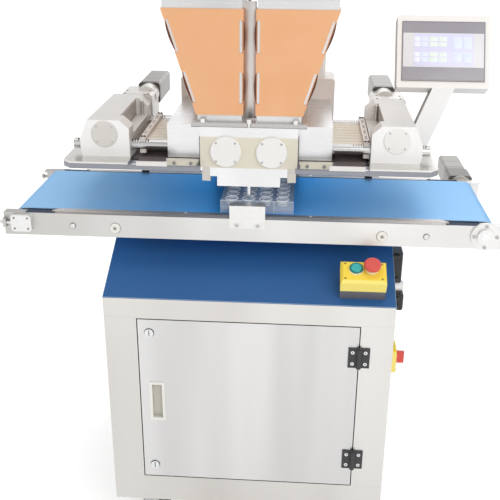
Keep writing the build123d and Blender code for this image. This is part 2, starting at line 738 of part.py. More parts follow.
def caster_brake(x, y):
    """Brake pedal on its pin in the fork, pressed down over the tyre."""
    half = WHEEL_WIDTH / 2 + FORK_GAP - APART
    plate = span(0, PEDAL_LENGTH, -half, half, -PEDAL_THICK / 2, PEDAL_THICK / 2)
    plate += rod_y(0, -half, half, 0, PEDAL_BARREL_RADIUS)
    plate -= rod_y(0, -half - EPS, half + EPS, 0, PEDAL_PIN_RADIUS + RUN)
    return Pos(x + PEDAL_PIVOT_X, y, PEDAL_PIVOT_Z) * Rot(Y=PEDAL_ANGLE) * plate


def caster_wheel(x, y):
    """Tyre and hub."""
    axle_x = x + TRAIL
    half = WHEEL_WIDTH / 2
    hub_radius = WHEEL_RADIUS - TYRE_THICK
    tyre = rod_y(axle_x, y - half, y + half, WHEEL_RADIUS, WHEEL_RADIUS)
    tyre = chamfer(tyre.edges().filter_by(GeomType.CIRCLE), TYRE_EDGE)
    tyre -= rod_y(axle_x, y - half - EPS, y + half + EPS, WHEEL_RADIUS, hub_radius)
    hub = rod_y(axle_x, y - half + HUB_RECESS, y + half - HUB_RECESS, WHEEL_RADIUS, hub_radius)
    boss = half + FORK_GAP - APART
    hub += rod_y(axle_x, y - boss, y + boss, WHEEL_RADIUS, AXLE_RADIUS + HUB_WALL)
    hub -= rod_y(axle_x, y - boss - EPS, y + boss + EPS, WHEEL_RADIUS, AXLE_RADIUS + RUN)
    return [tyre, hub]


# Button box on the slope, in a frame of its own: x to the right, y up the slope, z out of it


def on_slope():
    slope = math.radians(SLOPE_ANGLE)
    return Location(
        Plane(
            origin=(
                CABINET_RIGHT - BOX_FROM_RIGHT,
                BOX_UP_SLOPE * math.cos(slope),
                FRONT_TOP + BOX_UP_SLOPE * math.sin(slope),
            ),
            x_dir=(1, 0, 0),
            z_dir=(0, -math.sin(slope), math.cos(slope)),
        )
    )


def button_box_base():
    base = span(0, BOX_WIDTH, 0, BOX_LENGTH, 0, BOX_BASE)
    base -= span(BOX_WALL, BOX_WIDTH - BOX_WALL, BOX_WALL, BOX_LENGTH - BOX_WALL, BOX_WALL, BOX_BASE + EPS)
    return on_slope() * base


def button_box_lid():
    """Yellow lid, drawn in towards its top, with the two button holes."""
    top = BOX_BASE + BOX_LID
    lid = span(0, BOX_WIDTH, 0, BOX_LENGTH, BOX_BASE, top)
    lid = chamfer(lid.faces().sort_by(Axis.Z)[-1].edges(), LID_EDGE)
    under = top - LID_TOP_WALL
    lid -= span(BOX_WALL, BOX_WIDTH - BOX_WALL, BOX_WALL, BOX_LENGTH - BOX_WALL, BOX_BASE - EPS, under)
    lid -= rod_z(GREEN_FROM_LEFT, BUTTON_UP, BOX_BASE, top + EPS, GREEN_RADIUS + RUN)
    lid -= rod_z(RED_FROM_LEFT, BUTTON_UP, BOX_BASE, top + EPS, STEM_RADIUS + RUN)
    return on_slope() * lid


def start_button():
    """Green button: cap in the lid's hole and a wider foot under the lid that keeps it in."""
    top = BOX_BASE + BOX_LID
    button = rod_z(GREEN_FROM_LEFT, BUTTON_UP, top - STEM_BELOW, top + GREEN_PROUD, GREEN_RADIUS)
    button = chamfer(button.edges().sort_by(Axis.Z)[-1], GREEN_EDGE)
    foot_top = top - LID_TOP_WALL - APART
    button += rod_z(GREEN_FROM_LEFT, BUTTON_UP, top - STEM_BELOW, foot_top, GREEN_RADIUS + BUTTON_FOOT)
    return on_slope() * button


def stop_button():
    """Red mushroom button on its stem, with a foot under the lid."""
    top = BOX_BASE + BOX_LID
    crown = top + MUSHROOM_PROUD
    cap = rod_z(RED_FROM_LEFT, BUTTON_UP, crown - MUSHROOM_THICK, crown, MUSHROOM_RADIUS)
    cap = fillet(cap.edges().sort_by(Axis.Z)[-1], MUSHROOM_ROUND)
    stem = rod_z(RED_FROM_LEFT, BUTTON_UP, top - STEM_BELOW, crown - MUSHROOM_ROUND, STEM_RADIUS)
    foot_top = top - LID_TOP_WALL - APART
    foot = rod_z(RED_FROM_LEFT, BUTTON_UP, top - STEM_BELOW, foot_top, STEM_RADIUS + BUTTON_FOOT)
    return on_slope() * (cap + stem + foot)


# Right wall: isolator, vent grille, connector hoods


def isolator_plate():
    half = ISOLATOR_SIDE / 2
    plate = span(
        CABINET_RIGHT,
        CABINET_RIGHT + ISOLATOR_PLATE,
        ISOLATOR_SETBACK - half,
        ISOLATOR_SETBACK + half,
        ISOLATOR_Z - half,
        ISOLATOR_Z + half,
    )
    plate = fillet(plate.edges().filter_by(Axis.X), ISOLATOR_ROUND)
    bore = KNOB_SHAFT_RADIUS + RUN
    face = CABINET_RIGHT + ISOLATOR_PLATE
    return plate - rod_x(CABINET_RIGHT - EPS, face + EPS, ISOLATOR_SETBACK, ISOLATOR_Z, bore)


def isolator_knob():
    """Red knob with a grip bar, on a shaft that reaches through the wall into the switch."""
    face = CABINET_RIGHT + ISOLATOR_PLATE + APART
    knob = rod_x(face, face + KNOB_BASE, ISOLATOR_SETBACK, ISOLATOR_Z, KNOB_RADIUS)
    half = KNOB_BAR_WIDTH / 2
    grip = KNOB_RADIUS + KNOB_BAR_PAST
    knob += span(
        face,
        face + KNOB_BASE + KNOB_BAR,
        ISOLATOR_SETBACK - half,
        ISOLATOR_SETBACK + half,
        ISOLATOR_Z - grip,
        ISOLATOR_Z + grip,
    )
    return knob + rod_x(face - KNOB_SHAFT, face, ISOLATOR_SETBACK, ISOLATOR_Z, KNOB_SHAFT_RADIUS)


def isolator_body():
    """The switch behind the wall, with the bore for the knob's shaft."""
    wall = CABINET_RIGHT - SHEET
    half = ISOLATOR_BODY_SIDE / 2
    body = span(
        wall - ISOLATOR_BODY,
        wall,
        ISOLATOR_SETBACK - half,
        ISOLATOR_SETBACK + half,
        ISOLATOR_Z - half,
        ISOLATOR_Z + half,
    )
    end = wall - KNOB_SHAFT
    return body - rod_x(end, wall + EPS, ISOLATOR_SETBACK, ISOLATOR_Z, KNOB_SHAFT_RADIUS + RUN)


def vent_grille():
    """Square grille with level slots."""
    half = VENT_SIDE / 2
    x0 = CABINET_RIGHT
    grille = span(x0, x0 + VENT_PROUD, VENT_SETBACK - half, VENT_SETBACK + half, VENT_Z - half, VENT_Z + half)
    pitch = VENT_SIDE / (VENT_SLOTS + 1)
    reach = half - VENT_SLOT_INSET
    for index in range(VENT_SLOTS):
        z = VENT_Z - half + (index + 1) * pitch
        grille -= span(
            x0 - EPS,
            x0 + VENT_PROUD + EPS,
            VENT_SETBACK - reach,
            VENT_SETBACK + reach,
            z - VENT_SLOT / 2,
            z + VENT_SLOT / 2,
        )
    return grille


def connector_hood(rise, height, proud):
    """Black hood of a multi-pin connector, on its flange."""
    bottom = CABINET_BOTTOM + rise
    half = HOOD_WIDTH / 2
    y0 = HOOD_SETBACK - half
    y1 = HOOD_SETBACK + half
    x1 = CABINET_RIGHT + proud
    hood = span(CABINET_RIGHT, x1, y0 + HOOD_STEP, y1 - HOOD_STEP, bottom, bottom + height)
    hood = fillet(hood.faces().sort_by(Axis.X)[-1].edges(), HOOD_ROUND)
    return hood + span(CABINET_RIGHT, CABINET_RIGHT + HOOD_FLANGE, y0, y1, bottom, bottom + height)


# Conveyor


def conveyor_rail():
    """Front rail: a folded channel, open to the belt, with the shaft holes and the tension lug."""
    y0 = RAIL_FRONT_FACE
    rail = span(RAIL_LEFT, RAIL_RIGHT, y0, y0 + RAIL_FLANGE, RAIL_BOTTOM, RAIL_TOP)
    rail -= span(
        RAIL_LEFT - EPS,
        RAIL_RIGHT + EPS,
        y0 + RAIL_WALL,
        y0 + RAIL_FLANGE + EPS,
        RAIL_BOTTOM + RAIL_WALL,
        RAIL_TOP - RAIL_WALL,
    )
    rail -= rod_y(DRIVE_X, y0 - EPS, y0 + RAIL_WALL + EPS, ROLLER_Z, SHAFT_RADIUS + SHAFT_ROOM)
    travel = SHAFT_RADIUS + TENSION_TRAVEL
    rail -= span(
        IDLER_X - travel,
        IDLER_X + travel,
        y0 - EPS,
        y0 + RAIL_WALL + EPS,
        ROLLER_Z - SHAFT_RADIUS - SHAFT_ROOM,
        ROLLER_Z + SHAFT_RADIUS + SHAFT_ROOM,
    )
    lug_half = TENSION_HEAD_RADIUS + LUG_WALL
    screw_y = y0 - BEARING_THICK / 2
    rail += span(
        RAIL_LEFT,
        RAIL_LEFT + LUG_THICK,
        y0 - BEARING_THICK,
        y0 + RAIL_WALL,
        ROLLER_Z - lug_half,
        ROLLER_Z + lug_half,
    )
    hole = TENSION_SCREW_RADIUS + APART
    return rail - rod_x(RAIL_LEFT - EPS, RAIL_LEFT + LUG_THICK + EPS, screw_y, ROLLER_Z, hole)


def belt_loop(radius, y0, y1):
    """A closed loop's outline round both rollers, drawn out across the belt."""
    straight = span(IDLER_X, DRIVE_X, y0, y1, ROLLER_Z - radius, ROLLER_Z + radius)
    return straight + rod_y(IDLER_X, y0, y1, ROLLER_Z, radius) + rod_y(DRIVE_X, y0, y1, ROLLER_Z, radius)


def conveyor_belt():
    outer = belt_loop(ROLLER_RADIUS + BELT_THICK, BELT_SETBACK, BELT_REAR)
    return outer - belt_loop(ROLLER_RADIUS + RUN, BELT_SETBACK - EPS, BELT_REAR + EPS)


def roller(x, front_reach, rear_reach):
    """Drum on its shaft."""
    inset = ROLLER_SHORT / 2
    drum = rod_y(x, BELT_SETBACK + inset, BELT_REAR - inset, ROLLER_Z, ROLLER_RADIUS)
    return drum + rod_y(x, RAIL_FRONT_FACE - front_reach, RAIL_REAR_FACE + rear_reach, ROLLER_Z, SHAFT_RADIUS)


def flange_bearing():
    """Round flange bearing of the drive roller on the front rail."""
    y1 = RAIL_FRONT_FACE
    flange = rod_y(DRIVE_X, y1 - BEARING_THICK / 2, y1, ROLLER_Z, FLANGE_RADIUS)
    flange += rod_y(DRIVE_X, y1 - BEARING_THICK, y1, ROLLER_Z, SHAFT_RADIUS + BEARING_WALL)
    return flange - rod_y(DRIVE_X, y1 - BEARING_THICK - EPS, y1 + EPS, ROLLER_Z, SHAFT_RADIUS + RUN)


def tension_block():
    """Bearing block of the idler roller on the front rail."""
    y1 = RAIL_FRONT_FACE
    half = BLOCK_LENGTH / 2
    block = span(
        IDLER_X - half,
        IDLER_X + half,
        y1 - BEARING_THICK,
        y1,
        ROLLER_Z - BLOCK_HEIGHT / 2,
        ROLLER_Z + BLOCK_HEIGHT / 2,
    )
    block = chamfer(block.edges().filter_by(Axis.Y), BLOCK_EDGE)
    return block - rod_y(IDLER_X, y1 - BEARING_THICK - EPS, y1 + EPS, ROLLER_Z, SHAFT_RADIUS + RUN)


def tension_screw():
    """Screw through the rail's lug, its point against the bearing block."""
    tip = IDLER_X - BLOCK_LENGTH / 2
    end = tip - TENSION_SCREW_LENGTH
    y = RAIL_FRONT_FACE - BEARING_THICK / 2
    screw = rod_x(end, tip, y, ROLLER_Z, TENSION_SCREW_RADIUS)
    head = Pos(end - TENSION_HEAD / 2, y, ROLLER_Z) * Rot(Y=90) * extrude(
        RegularPolygon(TENSION_HEAD_RADIUS, 6), amount=TENSION_HEAD / 2, both=True
    )
    return screw + head


def belt_guide():
    """Steel strip on the front rail's top, beside the belt, its ends cut on a slant."""
    y1 = BELT_SETBACK - GUIDE_FROM_BELT
    y0 = y1 - GUIDE_WIDTH
    long_half = BED_HALF - GUIDE_SHORT
    short_half = long_half - GUIDE_WIDTH
    outline = [(-long_half, y0), (long_half, y0), (short_half, y1), (-short_half, y1)]
    return prism_z(outline, RAIL_TOP, RAIL_TOP + GUIDE_THICK)


def cross_bar(x):
    """Round bar between the rails' webs."""
    inner = RAIL_FRONT_FACE + RAIL_WALL
    return rod_y(x, inner, RAIL_REAR_FACE - RAIL_WALL, CROSS_BAR_Z, CROSS_BAR_RADIUS)


def slider_bed():
    """Inverted tray under the belt's top run; its sides sit over the cross bars."""
    top = BELT_TOP - BELT_THICK - APART
    low = CROSS_BAR_Z
    y0 = BELT_SETBACK + BED_INSET
    y1 = BELT_REAR - BED_INSET
    bed = span(-BED_HALF, BED_HALF, y0, y1, low, top)
    bed -= span(-BED_HALF - EPS, BED_HALF + EPS, y0 + BED_PLATE, y1 - BED_PLATE, low - EPS, top - BED_PLATE)
    for x in (-OUTER_BAR_X, -INNER_BAR_X, INNER_BAR_X, OUTER_BAR_X):
        bed -= rod_y(x, y0 - EPS, y1 + EPS, CROSS_BAR_Z, CROSS_BAR_RADIUS + RUN)
    return bed


def support_arm(x):
    """Flat arm on the cabinet's top that carries both rails' lower flanges."""
    half = ARM_WIDTH / 2
    return span(x - half, x + half, RAIL_FRONT_FACE + ARM_INSET, RAIL_REAR_FACE, CONSOLE_TOP, RAIL_BOTTOM)


def sensor_bracket():
    """Bent plate on the front rail: upright face and a lip towards the belt."""
    half = SENSOR_PLATE_WIDTH / 2
    y1 = RAIL_FRONT_FACE
    y0 = y1 - SENSOR_PLATE_THICK
    low = SENSOR_PLATE_TOP - SENSOR_PLATE_THICK
    plate = span(-half, half, y0, y1, SENSOR_PLATE_LOW, SENSOR_PLATE_TOP)
    return plate + span(-half, half, y0, y1 + SENSOR_LIP, low, SENSOR_PLATE_TOP)


def sensor_eye():
    """Sensor under the bracket's lip, looking across the belt."""
    low = SENSOR_PLATE_TOP - SENSOR_PLATE_THICK
    half = EYE_WIDTH / 2
    return span(-half, half, RAIL_FRONT_FACE, RAIL_FRONT_FACE + EYE_DEPTH, low - EYE_HEIGHT, low)


def rear_sensor(x):
    """Small block on the rear guide strip."""
    y0 = BELT_REAR + GUIDE_FROM_BELT + STOP_INSET
    z0 = RAIL_TOP + GUIDE_THICK
    half = STOP_LENGTH / 2
    return span(x - half, x + half, y0, y0 + STOP_DEPTH, z0, z0 + STOP_HEIGHT)


def squared(x, y0, y1, z, side, edge):
    """A square body along Y with broken long edges."""
    half = side / 2
    return chamfer(span(x - half, x + half, y0, y1, z - half, z + half).edges().filter_by(Axis.Y), edge)


def belt_gearbox():
    start = RAIL_REAR_FACE + BEARING_THICK
    box = squared(DRIVE_X, start, start + BELT_GEARBOX_LENGTH, ROLLER_Z, BELT_GEARBOX_SIDE, MOTOR_EDGE)
    return box - rod_y(DRIVE_X, start - EPS, start + DRIVE_SHAFT_REAR + APART, ROLLER_Z, SHAFT_RADIUS + RUN)


def belt_motor():
    start = RAIL_REAR_FACE + BEARING_THICK + BELT_GEARBOX_LENGTH
    return squared(DRIVE_X, start, start + BELT_MOTOR_LENGTH, ROLLER_Z, BELT_MOTOR_SIDE, MOTOR_EDGE)


# Base plate and the columns that carry it


def base_plate():
    """Thick plate with broken front corners, a deep notch for the head and a pocket beside each drive."""
    notch = BODY_HALF + BODY_GAP
    notch_end = HEAD_REAR + BODY_GAP
    half = [
        (notch, notch_end),
        (notch, PLATE_MID_SETBACK),
        (POCKET_OUTER, PLATE_MID_SETBACK),
        (POCKET_OUTER, PLATE_SETBACK),
        (PLATE_HALF - PLATE_CORNER, PLATE_SETBACK),
        (PLATE_HALF, PLATE_SETBACK + PLATE_CORNER),
        (PLATE_HALF, PLATE_REAR),
    ]
    outline = [(-x, y) for x, y in reversed(half)] + half
    plate = prism_z(outline, PLATE_BOTTOM, PLATE_TOP)
    for side in (-1, 1):
        plate -= span(
            side * POCKET_INNER,
            side * POCKET_OUTER,
            PLATE_MID_SETBACK - EPS,
            DRIVE_REAR,
            PLATE_TOP - POCKET_DEPTH,
            PLATE_TOP + EPS,
        )
    return plate


def column(x):
    """Square tube on a foot, from the cabinet's top to the base plate."""
    half = COLUMN_WIDTH / 2
    y0 = RAIL_REAR_FACE + COLUMN_FROM_RAIL
    y1 = y0 + COLUMN_DEPTH
    post = span(x - half, x + half, y0, y1, CONSOLE_TOP, PLATE_BOTTOM)
    foot = span(
        x - half - COLUMN_FOOT,
        x + half + COLUMN_FOOT,
        y0 - COLUMN_FOOT,
        y1 + COLUMN_FOOT,
        CONSOLE_TOP,
        CONSOLE_TOP + COLUMN_FOOT_THICK,
    )
    inner = half - COLUMN_WALL
    hollow = span(
        x - inner,
        x + inner,
        y0 + COLUMN_WALL,
        y1 - COLUMN_WALL,
        CONSOLE_TOP - EPS,
        PLATE_BOTTOM + EPS,
    )
    return post + foot - hollow


# Depositing head


def cylinder_block():
    """Right block: eight cylinder bores between the two rod bores, all along X."""
    block = span(BODY_HALF, BLOCK_OUTER, CYLINDER_SETBACK, HEAD_REAR, PLATE_TOP, HEAD_TOP)
    ends = (BODY_HALF - EPS, BLOCK_OUTER + EPS)
    for y in PISTON_YS:
        block -= rod_x(*ends, y, ROD_Z, PISTON_RADIUS + RUN)
    for y in (FRONT_ROD_Y, REAR_ROD_Y):
        block -= rod_x(*ends, y, ROD_Z, ROD_RADIUS + RUN)
    return block


def cream_strip():
    """Cream bar on the base plate's front edge, under the right block."""
    y1 = PLATE_MID_SETBACK
    return span(BODY_HALF + BODY_GAP, STRIP_OUTER, y1 - STRIP_THICK, y1, PLATE_BOTTOM, PLATE_TOP)


def valve_block():
    """Block with two spool bores, open to the feed bars above, the cylinders beside and the outlets below."""
    face = HEAD_SETBACK + FACE_PLATE
    block = span(-BODY_HALF, BODY_HALF, face, HEAD_REAR, BODY_BOTTOM, FEED_LEVEL)
    for side in (-1, 1):
        x = side * SPOOL_X
        block -= rod_y(x, face - EPS, HEAD_REAR + EPS, ROD_Z, SPOOL_RADIUS + RUN)
        block -= span(x - FEED_SLOT / 2, x + FEED_SLOT / 2, FEED_FRONT, FEED_REAR, ROD_Z, FEED_LEVEL + EPS)
        for y in PISTON_YS:
            block -= rod_x(x, side * (BODY_HALF + EPS), y, ROD_Z, PORT_RADIUS)
            block -= rod_z(x, y, BODY_BOTTOM - EPS, ROD_Z, OUTLET_RADIUS)
    return block


def feed_bars():
    """Bars round the two feed slots, laid on the block; the foremost one lies on the cream plate."""
    face = HEAD_SETBACK + FACE_PLATE
    inner = SPOOL_X - FEED_SLOT / 2
    outer = SPOOL_X + FEED_SLOT / 2
    beam = span(-BODY_HALF, BODY_HALF, HEAD_SETBACK, face, HEAD_TOP - BEAM_HEIGHT, HEAD_TOP)
    front = span(-BODY_HALF, BODY_HALF, face, FEED_FRONT, FEED_LEVEL, HEAD_TOP)
    rear = span(-BODY_HALF, BODY_HALF, FEED_REAR, HEAD_REAR, FEED_LEVEL, HEAD_TOP)
    left = span(-BODY_HALF, -outer, FEED_FRONT, FEED_REAR, FEED_LEVEL, HEAD_TOP)
    middle = span(-inner, inner, FEED_FRONT, FEED_REAR, FEED_LEVEL, HEAD_TOP)
    right = span(outer, BODY_HALF, FEED_FRONT, FEED_REAR, FEED_LEVEL, HEAD_TOP)
    return [beam, front, rear, left, middle, right]


def face_plate():
    """Cream plate on the valve body's front, bored for the spools."""
    y1 = HEAD_SETBACK + FACE_PLATE
    plate = span(-BODY_HALF, BODY_HALF, HEAD_SETBACK, y1, BODY_BOTTOM, HEAD_TOP - BEAM_HEIGHT)
    for x in (-SPOOL_X, SPOOL_X):
        plate -= rod_y(x, HEAD_SETBACK - EPS, y1 + EPS, ROD_Z, SPOOL_RADIUS + RUN)
    return plate


def valve_cover(x):
    """Round cover over a spool bore."""
    cover = rod_y(x, HEAD_SETBACK - COVER_THICK, HEAD_SETBACK, ROD_Z, COVER_RADIUS)
    return chamfer(cover.edges().sort_by(Axis.Y)[0], COVER_EDGE)


def valve_spool(side):
    """Spool with a quarter pocket at each cylinder: open to the hopper or, turned, to the outlet."""
    x = side * SPOOL_X
    spool = rod_y(x, HEAD_SETBACK + APART, HEAD_REAR - APART, ROD_Z, SPOOL_RADIUS)
    spool += rod_y(x, HEAD_REAR - EPS, HEAD_REAR + SPOOL_SHAFT, ROD_Z, SPOOL_SHAFT_RADIUS)
    inner = PORT_RADIUS + EPS
    reach = SPOOL_RADIUS + EPS
    for y in PISTON_YS:
        half = SPOOL_POCKET / 2
        spool -= span(x - side * inner, x + side * reach, y - half, y + half, ROD_Z - inner, ROD_Z + reach)
    return spool


def nozzle_bar():
    """Stepped bar with a channel over each nozzle that gathers both outlets."""
    mid = BODY_BOTTOM - BAR_UPPER
    bar = span(-BAR_UPPER_HALF, BAR_UPPER_HALF, HEAD_SETBACK, BAR_REAR, mid, BODY_BOTTOM)
    bar += span(-BAR_LOWER_HALF, BAR_LOWER_HALF, HEAD_SETBACK, BAR_REAR, NOZZLE_TOP, mid)
    reach = SPOOL_X + OUTLET_RADIUS
    for y in NOZZLE_YS:
        half = OUTLET_RADIUS
        bar -= span(-reach, reach, y - half, y + half, BODY_BOTTOM - 2 * OUTLET_RADIUS, BODY_BOTTOM + EPS)
        bar -= rod_z(0, y, NOZZLE_TOP - EPS, BODY_BOTTOM, NOZZLE_BORE)
    return bar


def nozzle(y):
    """Tube with a drawn-in tip."""
    tip = NOZZLE_TOP - NOZZLE_LENGTH
    outline = Polyline(
        [
            (NOZZLE_BORE, 0, tip),
            (NOZZLE_TIP_RADIUS, 0, tip),
            (NOZZLE_RADIUS, 0, tip + NOZZLE_TAPER),
            (NOZZLE_RADIUS, 0, NOZZLE_TOP),
            (NOZZLE_BORE, 0, NOZZLE_TOP),
        ],
        close=True,
    )
    return Pos(0, y, 0) * revolve(make_face(outline), axis=Axis.Z)


def bar_bracket():
    """Right bracket that clamps the bar's upper step under the valve body."""
    x0 = BAR_UPPER_HALF
    return span(x0, x0 + BRACKET_WIDTH, BRACKET_SETBACK, BAR_REAR, BODY_BOTTOM - BRACKET_HEIGHT, BODY_BOTTOM)


# Piston drives: the right one is modelled, the left one is its mirror image


def drive_outline():
    """End view of the drive: upright inner side with a chamfer, sloping shoulder outside."""
    return [
        (DRIVE_INNER, PLATE_TOP),
        (DRIVE_INNER, DRIVE_TOP - INNER_CHAMFER_Z),
        (DRIVE_INNER + INNER_CHAMFER_X, DRIVE_TOP),
        (DRIVE_OUTER - SHOULDER_X, DRIVE_TOP),
        (DRIVE_OUTER, DRIVE_TOP - SHOULDER_Z),
        (DRIVE_OUTER, PLATE_TOP + DRIVE_FOOT_RISE),
        (DRIVE_OUTER - DRIVE_FOOT_INSET, PLATE_TOP),
    ]


def drive_housing():
    """Casting with a bore for the pinion shaft, a bore for each rod and a window on its inner upper side."""
    y0 = DRIVE_SETBACK + WINDOW_INSET
    y1 = DRIVE_REAR - WINDOW_INSET
    body = prism_y(drive_outline(), DRIVE_SETBACK, DRIVE_REAR)
    body -= rod_y(PINION_X, DRIVE_SETBACK - EPS, DRIVE_REAR + EPS, PINION_Z, PINION_BORE)
    window_x = DRIVE_INNER + WINDOW_REACH
    body -= span(DRIVE_INNER - EPS, window_x, y0, y1, PLATE_TOP + WINDOW_RISE, DRIVE_TOP + EPS)
    cavity_x = DRIVE_INNER + CAVITY_REACH
    body -= span(window_x - EPS, cavity_x, y0, y1, PLATE_TOP + CAVITY_RISE, DRIVE_TOP - CAVITY_ROOF)
    for y in (FRONT_ROD_Y, REAR_ROD_Y):
        body -= rod_x(DRIVE_INNER - EPS, DRIVE_OUTER + EPS, y, ROD_Z, ROD_RADIUS + RUN)
    return body


def drive_cover():
    """Round cover on the drive's front, its spigot the shaft's front bearing."""
    y = DRIVE_SETBACK
    cover = rod_y(PINION_X, y - DRIVE_COVER_THICK, y, PINION_Z, DRIVE_COVER_RADIUS)
    cover = chamfer(cover.edges().sort_by(Axis.Y)[0], COVER_EDGE)
    cover += rod_y(PINION_X, y - EPS, y + SPIGOT, PINION_Z, PINION_BORE - RUN)
    return cover - rod_y(PINION_X, y - APART, y + SPIGOT + EPS, PINION_Z, DRIVE_SHAFT_RADIUS + RUN)


def tooth_half_angle(radius):
    """Half a pinion tooth's angle at this radius, from the involute, less the backlash."""
    base = PITCH_RADIUS * math.cos(math.radians(PRESSURE_ANGLE))
    at = max(radius, base)
    roll = math.sqrt((at / base) ** 2 - 1) - math.acos(base / at)
    full = math.tan(math.radians(PRESSURE_ANGLE)) - math.radians(PRESSURE_ANGLE)
    return math.pi / (2 * TEETH) + full - roll - BACKLASH / (2 * PITCH_RADIUS)


def pinion(y):
    """Pinion over one rod, a tooth pointing straight down into the rack."""
    root = PITCH_RADIUS - DEDENDUM
    tip = PITCH_RADIUS + MODULE
    flank = [root, (root + PITCH_RADIUS) / 2, tip]
    points = []
    for index in range(TEETH):
        middle = -math.pi / 2 + index * 2 * math.pi / TEETH
        rising = [(radius, middle - tooth_half_angle(radius)) for radius in flank]
        falling = [(radius, middle + tooth_half_angle(radius)) for radius in reversed(flank)]
        points += rising + falling
    outline = [(PINION_X + r * math.cos(a), PINION_Z + r * math.sin(a)) for r, a in points]
    return prism_y(outline, y - PINION_WIDTH / 2, y + PINION_WIDTH / 2)


def pinion_shaft():
    """Drive shaft with its two pinions, from behind the cover into the gear block."""
    shaft = rod_y(PINION_X, DRIVE_SETBACK, DRIVE_REAR + DRIVE_SHAFT_REAR, PINION_Z, DRIVE_SHAFT_RADIUS)
    return shaft + pinion(FRONT_ROD_Y) + pinion(REAR_ROD_Y)


def rack_rod(y, advance):
    """Round rod with rack teeth on its top, spaced from the pinion, set in by advance."""
    inner = BLOCK_OUTER - ROD_IN_BLOCK - advance
    rod = rod_x(inner, ROD_OUTER, y, ROD_Z, ROD_RADIUS)
    slope = math.tan(math.radians(PRESSURE_ANGLE))
    low = RACK_LINE - DEDENDUM
    high = ROD_Z + ROD_RADIUS + EPS
    half_low = (PITCH + BACKLASH) / 4 - DEDENDUM * slope
    half_high = (PITCH + BACKLASH) / 4 + (high - RACK_LINE) * slope
    for index in range(RACK_TEETH):
        x = PINION_X + (RACK_OUTSIDE - index) * PITCH
        space = [(x - half_low, low), (x + half_low, low), (x + half_high, high), (x - half_high, high)]
        rod -= prism_y(space, y - ROD_RADIUS - EPS, y + ROD_RADIUS + EPS)
    return rod


def yoke(advance):
    """Bar across both rods that pushes the pistons."""
    x0 = YOKE_REST - advance
    half = YOKE_HEIGHT / 2
    bar = span(
        x0,
        x0 + YOKE_THICK,
        FRONT_ROD_Y - YOKE_PAST_ROD,
        REAR_ROD_Y + YOKE_PAST_ROD,
        ROD_Z - half,
        ROD_Z + half,
    )
    for y in (FRONT_ROD_Y, REAR_ROD_Y):
        bar -= rod_x(x0 - EPS, x0 + YOKE_THICK + EPS, y, ROD_Z, ROD_RADIUS + RUN)
    return bar


def piston(y, advance):
    """Piston from the yoke into its cylinder."""
    return rod_x(BLOCK_OUTER - PISTON_IN_BLOCK - advance, YOKE_REST - advance, y, ROD_Z, PISTON_RADIUS)


def gear_block(inner, motor_x):
    """Gear case behind the right drive, arched round the motor; its spigot is the shaft's rear bearing."""
    outer = inner + GEAR_BLOCK_WIDTH
    block = span(inner, outer, DRIVE_REAR, GEAR_BLOCK_REAR, PLATE_TOP, DRIVE_TOP)
    block = chamfer(block.edges().filter_by(Axis.Y).sort_by(Axis.Z)[-2:], GEAR_BLOCK_EDGE)
    block += rod_y(motor_x, DRIVE_REAR + GEAR_BLOCK_LENGTH / 2, GEAR_BLOCK_REAR, MOTOR_Z, ARCH_RADIUS)
    block += rod_y(PINION_X, DRIVE_REAR - SPIGOT, DRIVE_REAR + EPS, PINION_Z, PINION_BORE - RUN)
    bore = DRIVE_SHAFT_RADIUS + RUN
    end = DRIVE_REAR + DRIVE_SHAFT_REAR + APART
    return block - rod_y(PINION_X, DRIVE_REAR - SPIGOT - EPS, end, PINION_Z, bore)


def drive_motor(x):
    """Servo motor: flange, groove and case."""
    y0 = GEAR_BLOCK_REAR
    y1 = y0 + MOTOR_FLANGE
    y2 = y1 + MOTOR_GROOVE
    motor = squared(x, y0, y1, MOTOR_Z, MOTOR_SIDE, MOTOR_EDGE)
    motor += squared(x, y1, y2, MOTOR_Z, MOTOR_GROOVE_SIDE, MOTOR_EDGE)
    return motor + squared(x, y2, MOTOR_REAR, MOTOR_Z, MOTOR_SIDE, MOTOR_EDGE)


# Valve drive box and its upright motors


def valve_drive_box():
    """Box behind the head, with the sockets for the spools' shafts."""
    box = span(-REAR_BOX_HALF, REAR_BOX_HALF, HEAD_REAR, HEAD_REAR + REAR_BOX_DEPTH, PLATE_TOP, REAR_BOX_TOP)
    box = chamfer(box.edges().filter_by(Axis.Y).sort_by(Axis.Z)[-2:], REAR_BOX_EDGE)
    for x in (-SPOOL_X, SPOOL_X):
        box -= rod_y(x, HEAD_REAR - EPS, HEAD_REAR + SPOOL_SHAFT + APART, ROD_Z, SPOOL_SHAFT_RADIUS + RUN)
    return box


def valve_motor(x):
    half = MOTOR_SIDE / 2
    y = HEAD_REAR + VALVE_MOTOR_FROM_HEAD
    motor = span(x - half, x + half, y - half, y + half, REAR_BOX_TOP, REAR_BOX_TOP + VALVE_MOTOR_HEIGHT)
    return chamfer(motor.edges().filter_by(Axis.Z), MOTOR_EDGE)


# Hoppers: the right one is modelled, the left one is its mirror image


def hopper_outline(grow, low, high):
    """Hopper's front view between two heights: upright inner side, outer side leaning out above the neck."""
    lean = (HOPPER_OUTER_HIGH - HOPPER_OUTER_LOW) / (TAPER_TOP - NECK_TOP)
    outer_low = HOPPER_OUTER_LOW + lean * (low - NECK_TOP) + grow
    outer_high = HOPPER_OUTER_LOW + lean * (high - NECK_TOP) + grow
    return [(HOPPER_INNER - grow, low), (outer_low, low), (outer_high, high), (HOPPER_INNER - grow, high)]


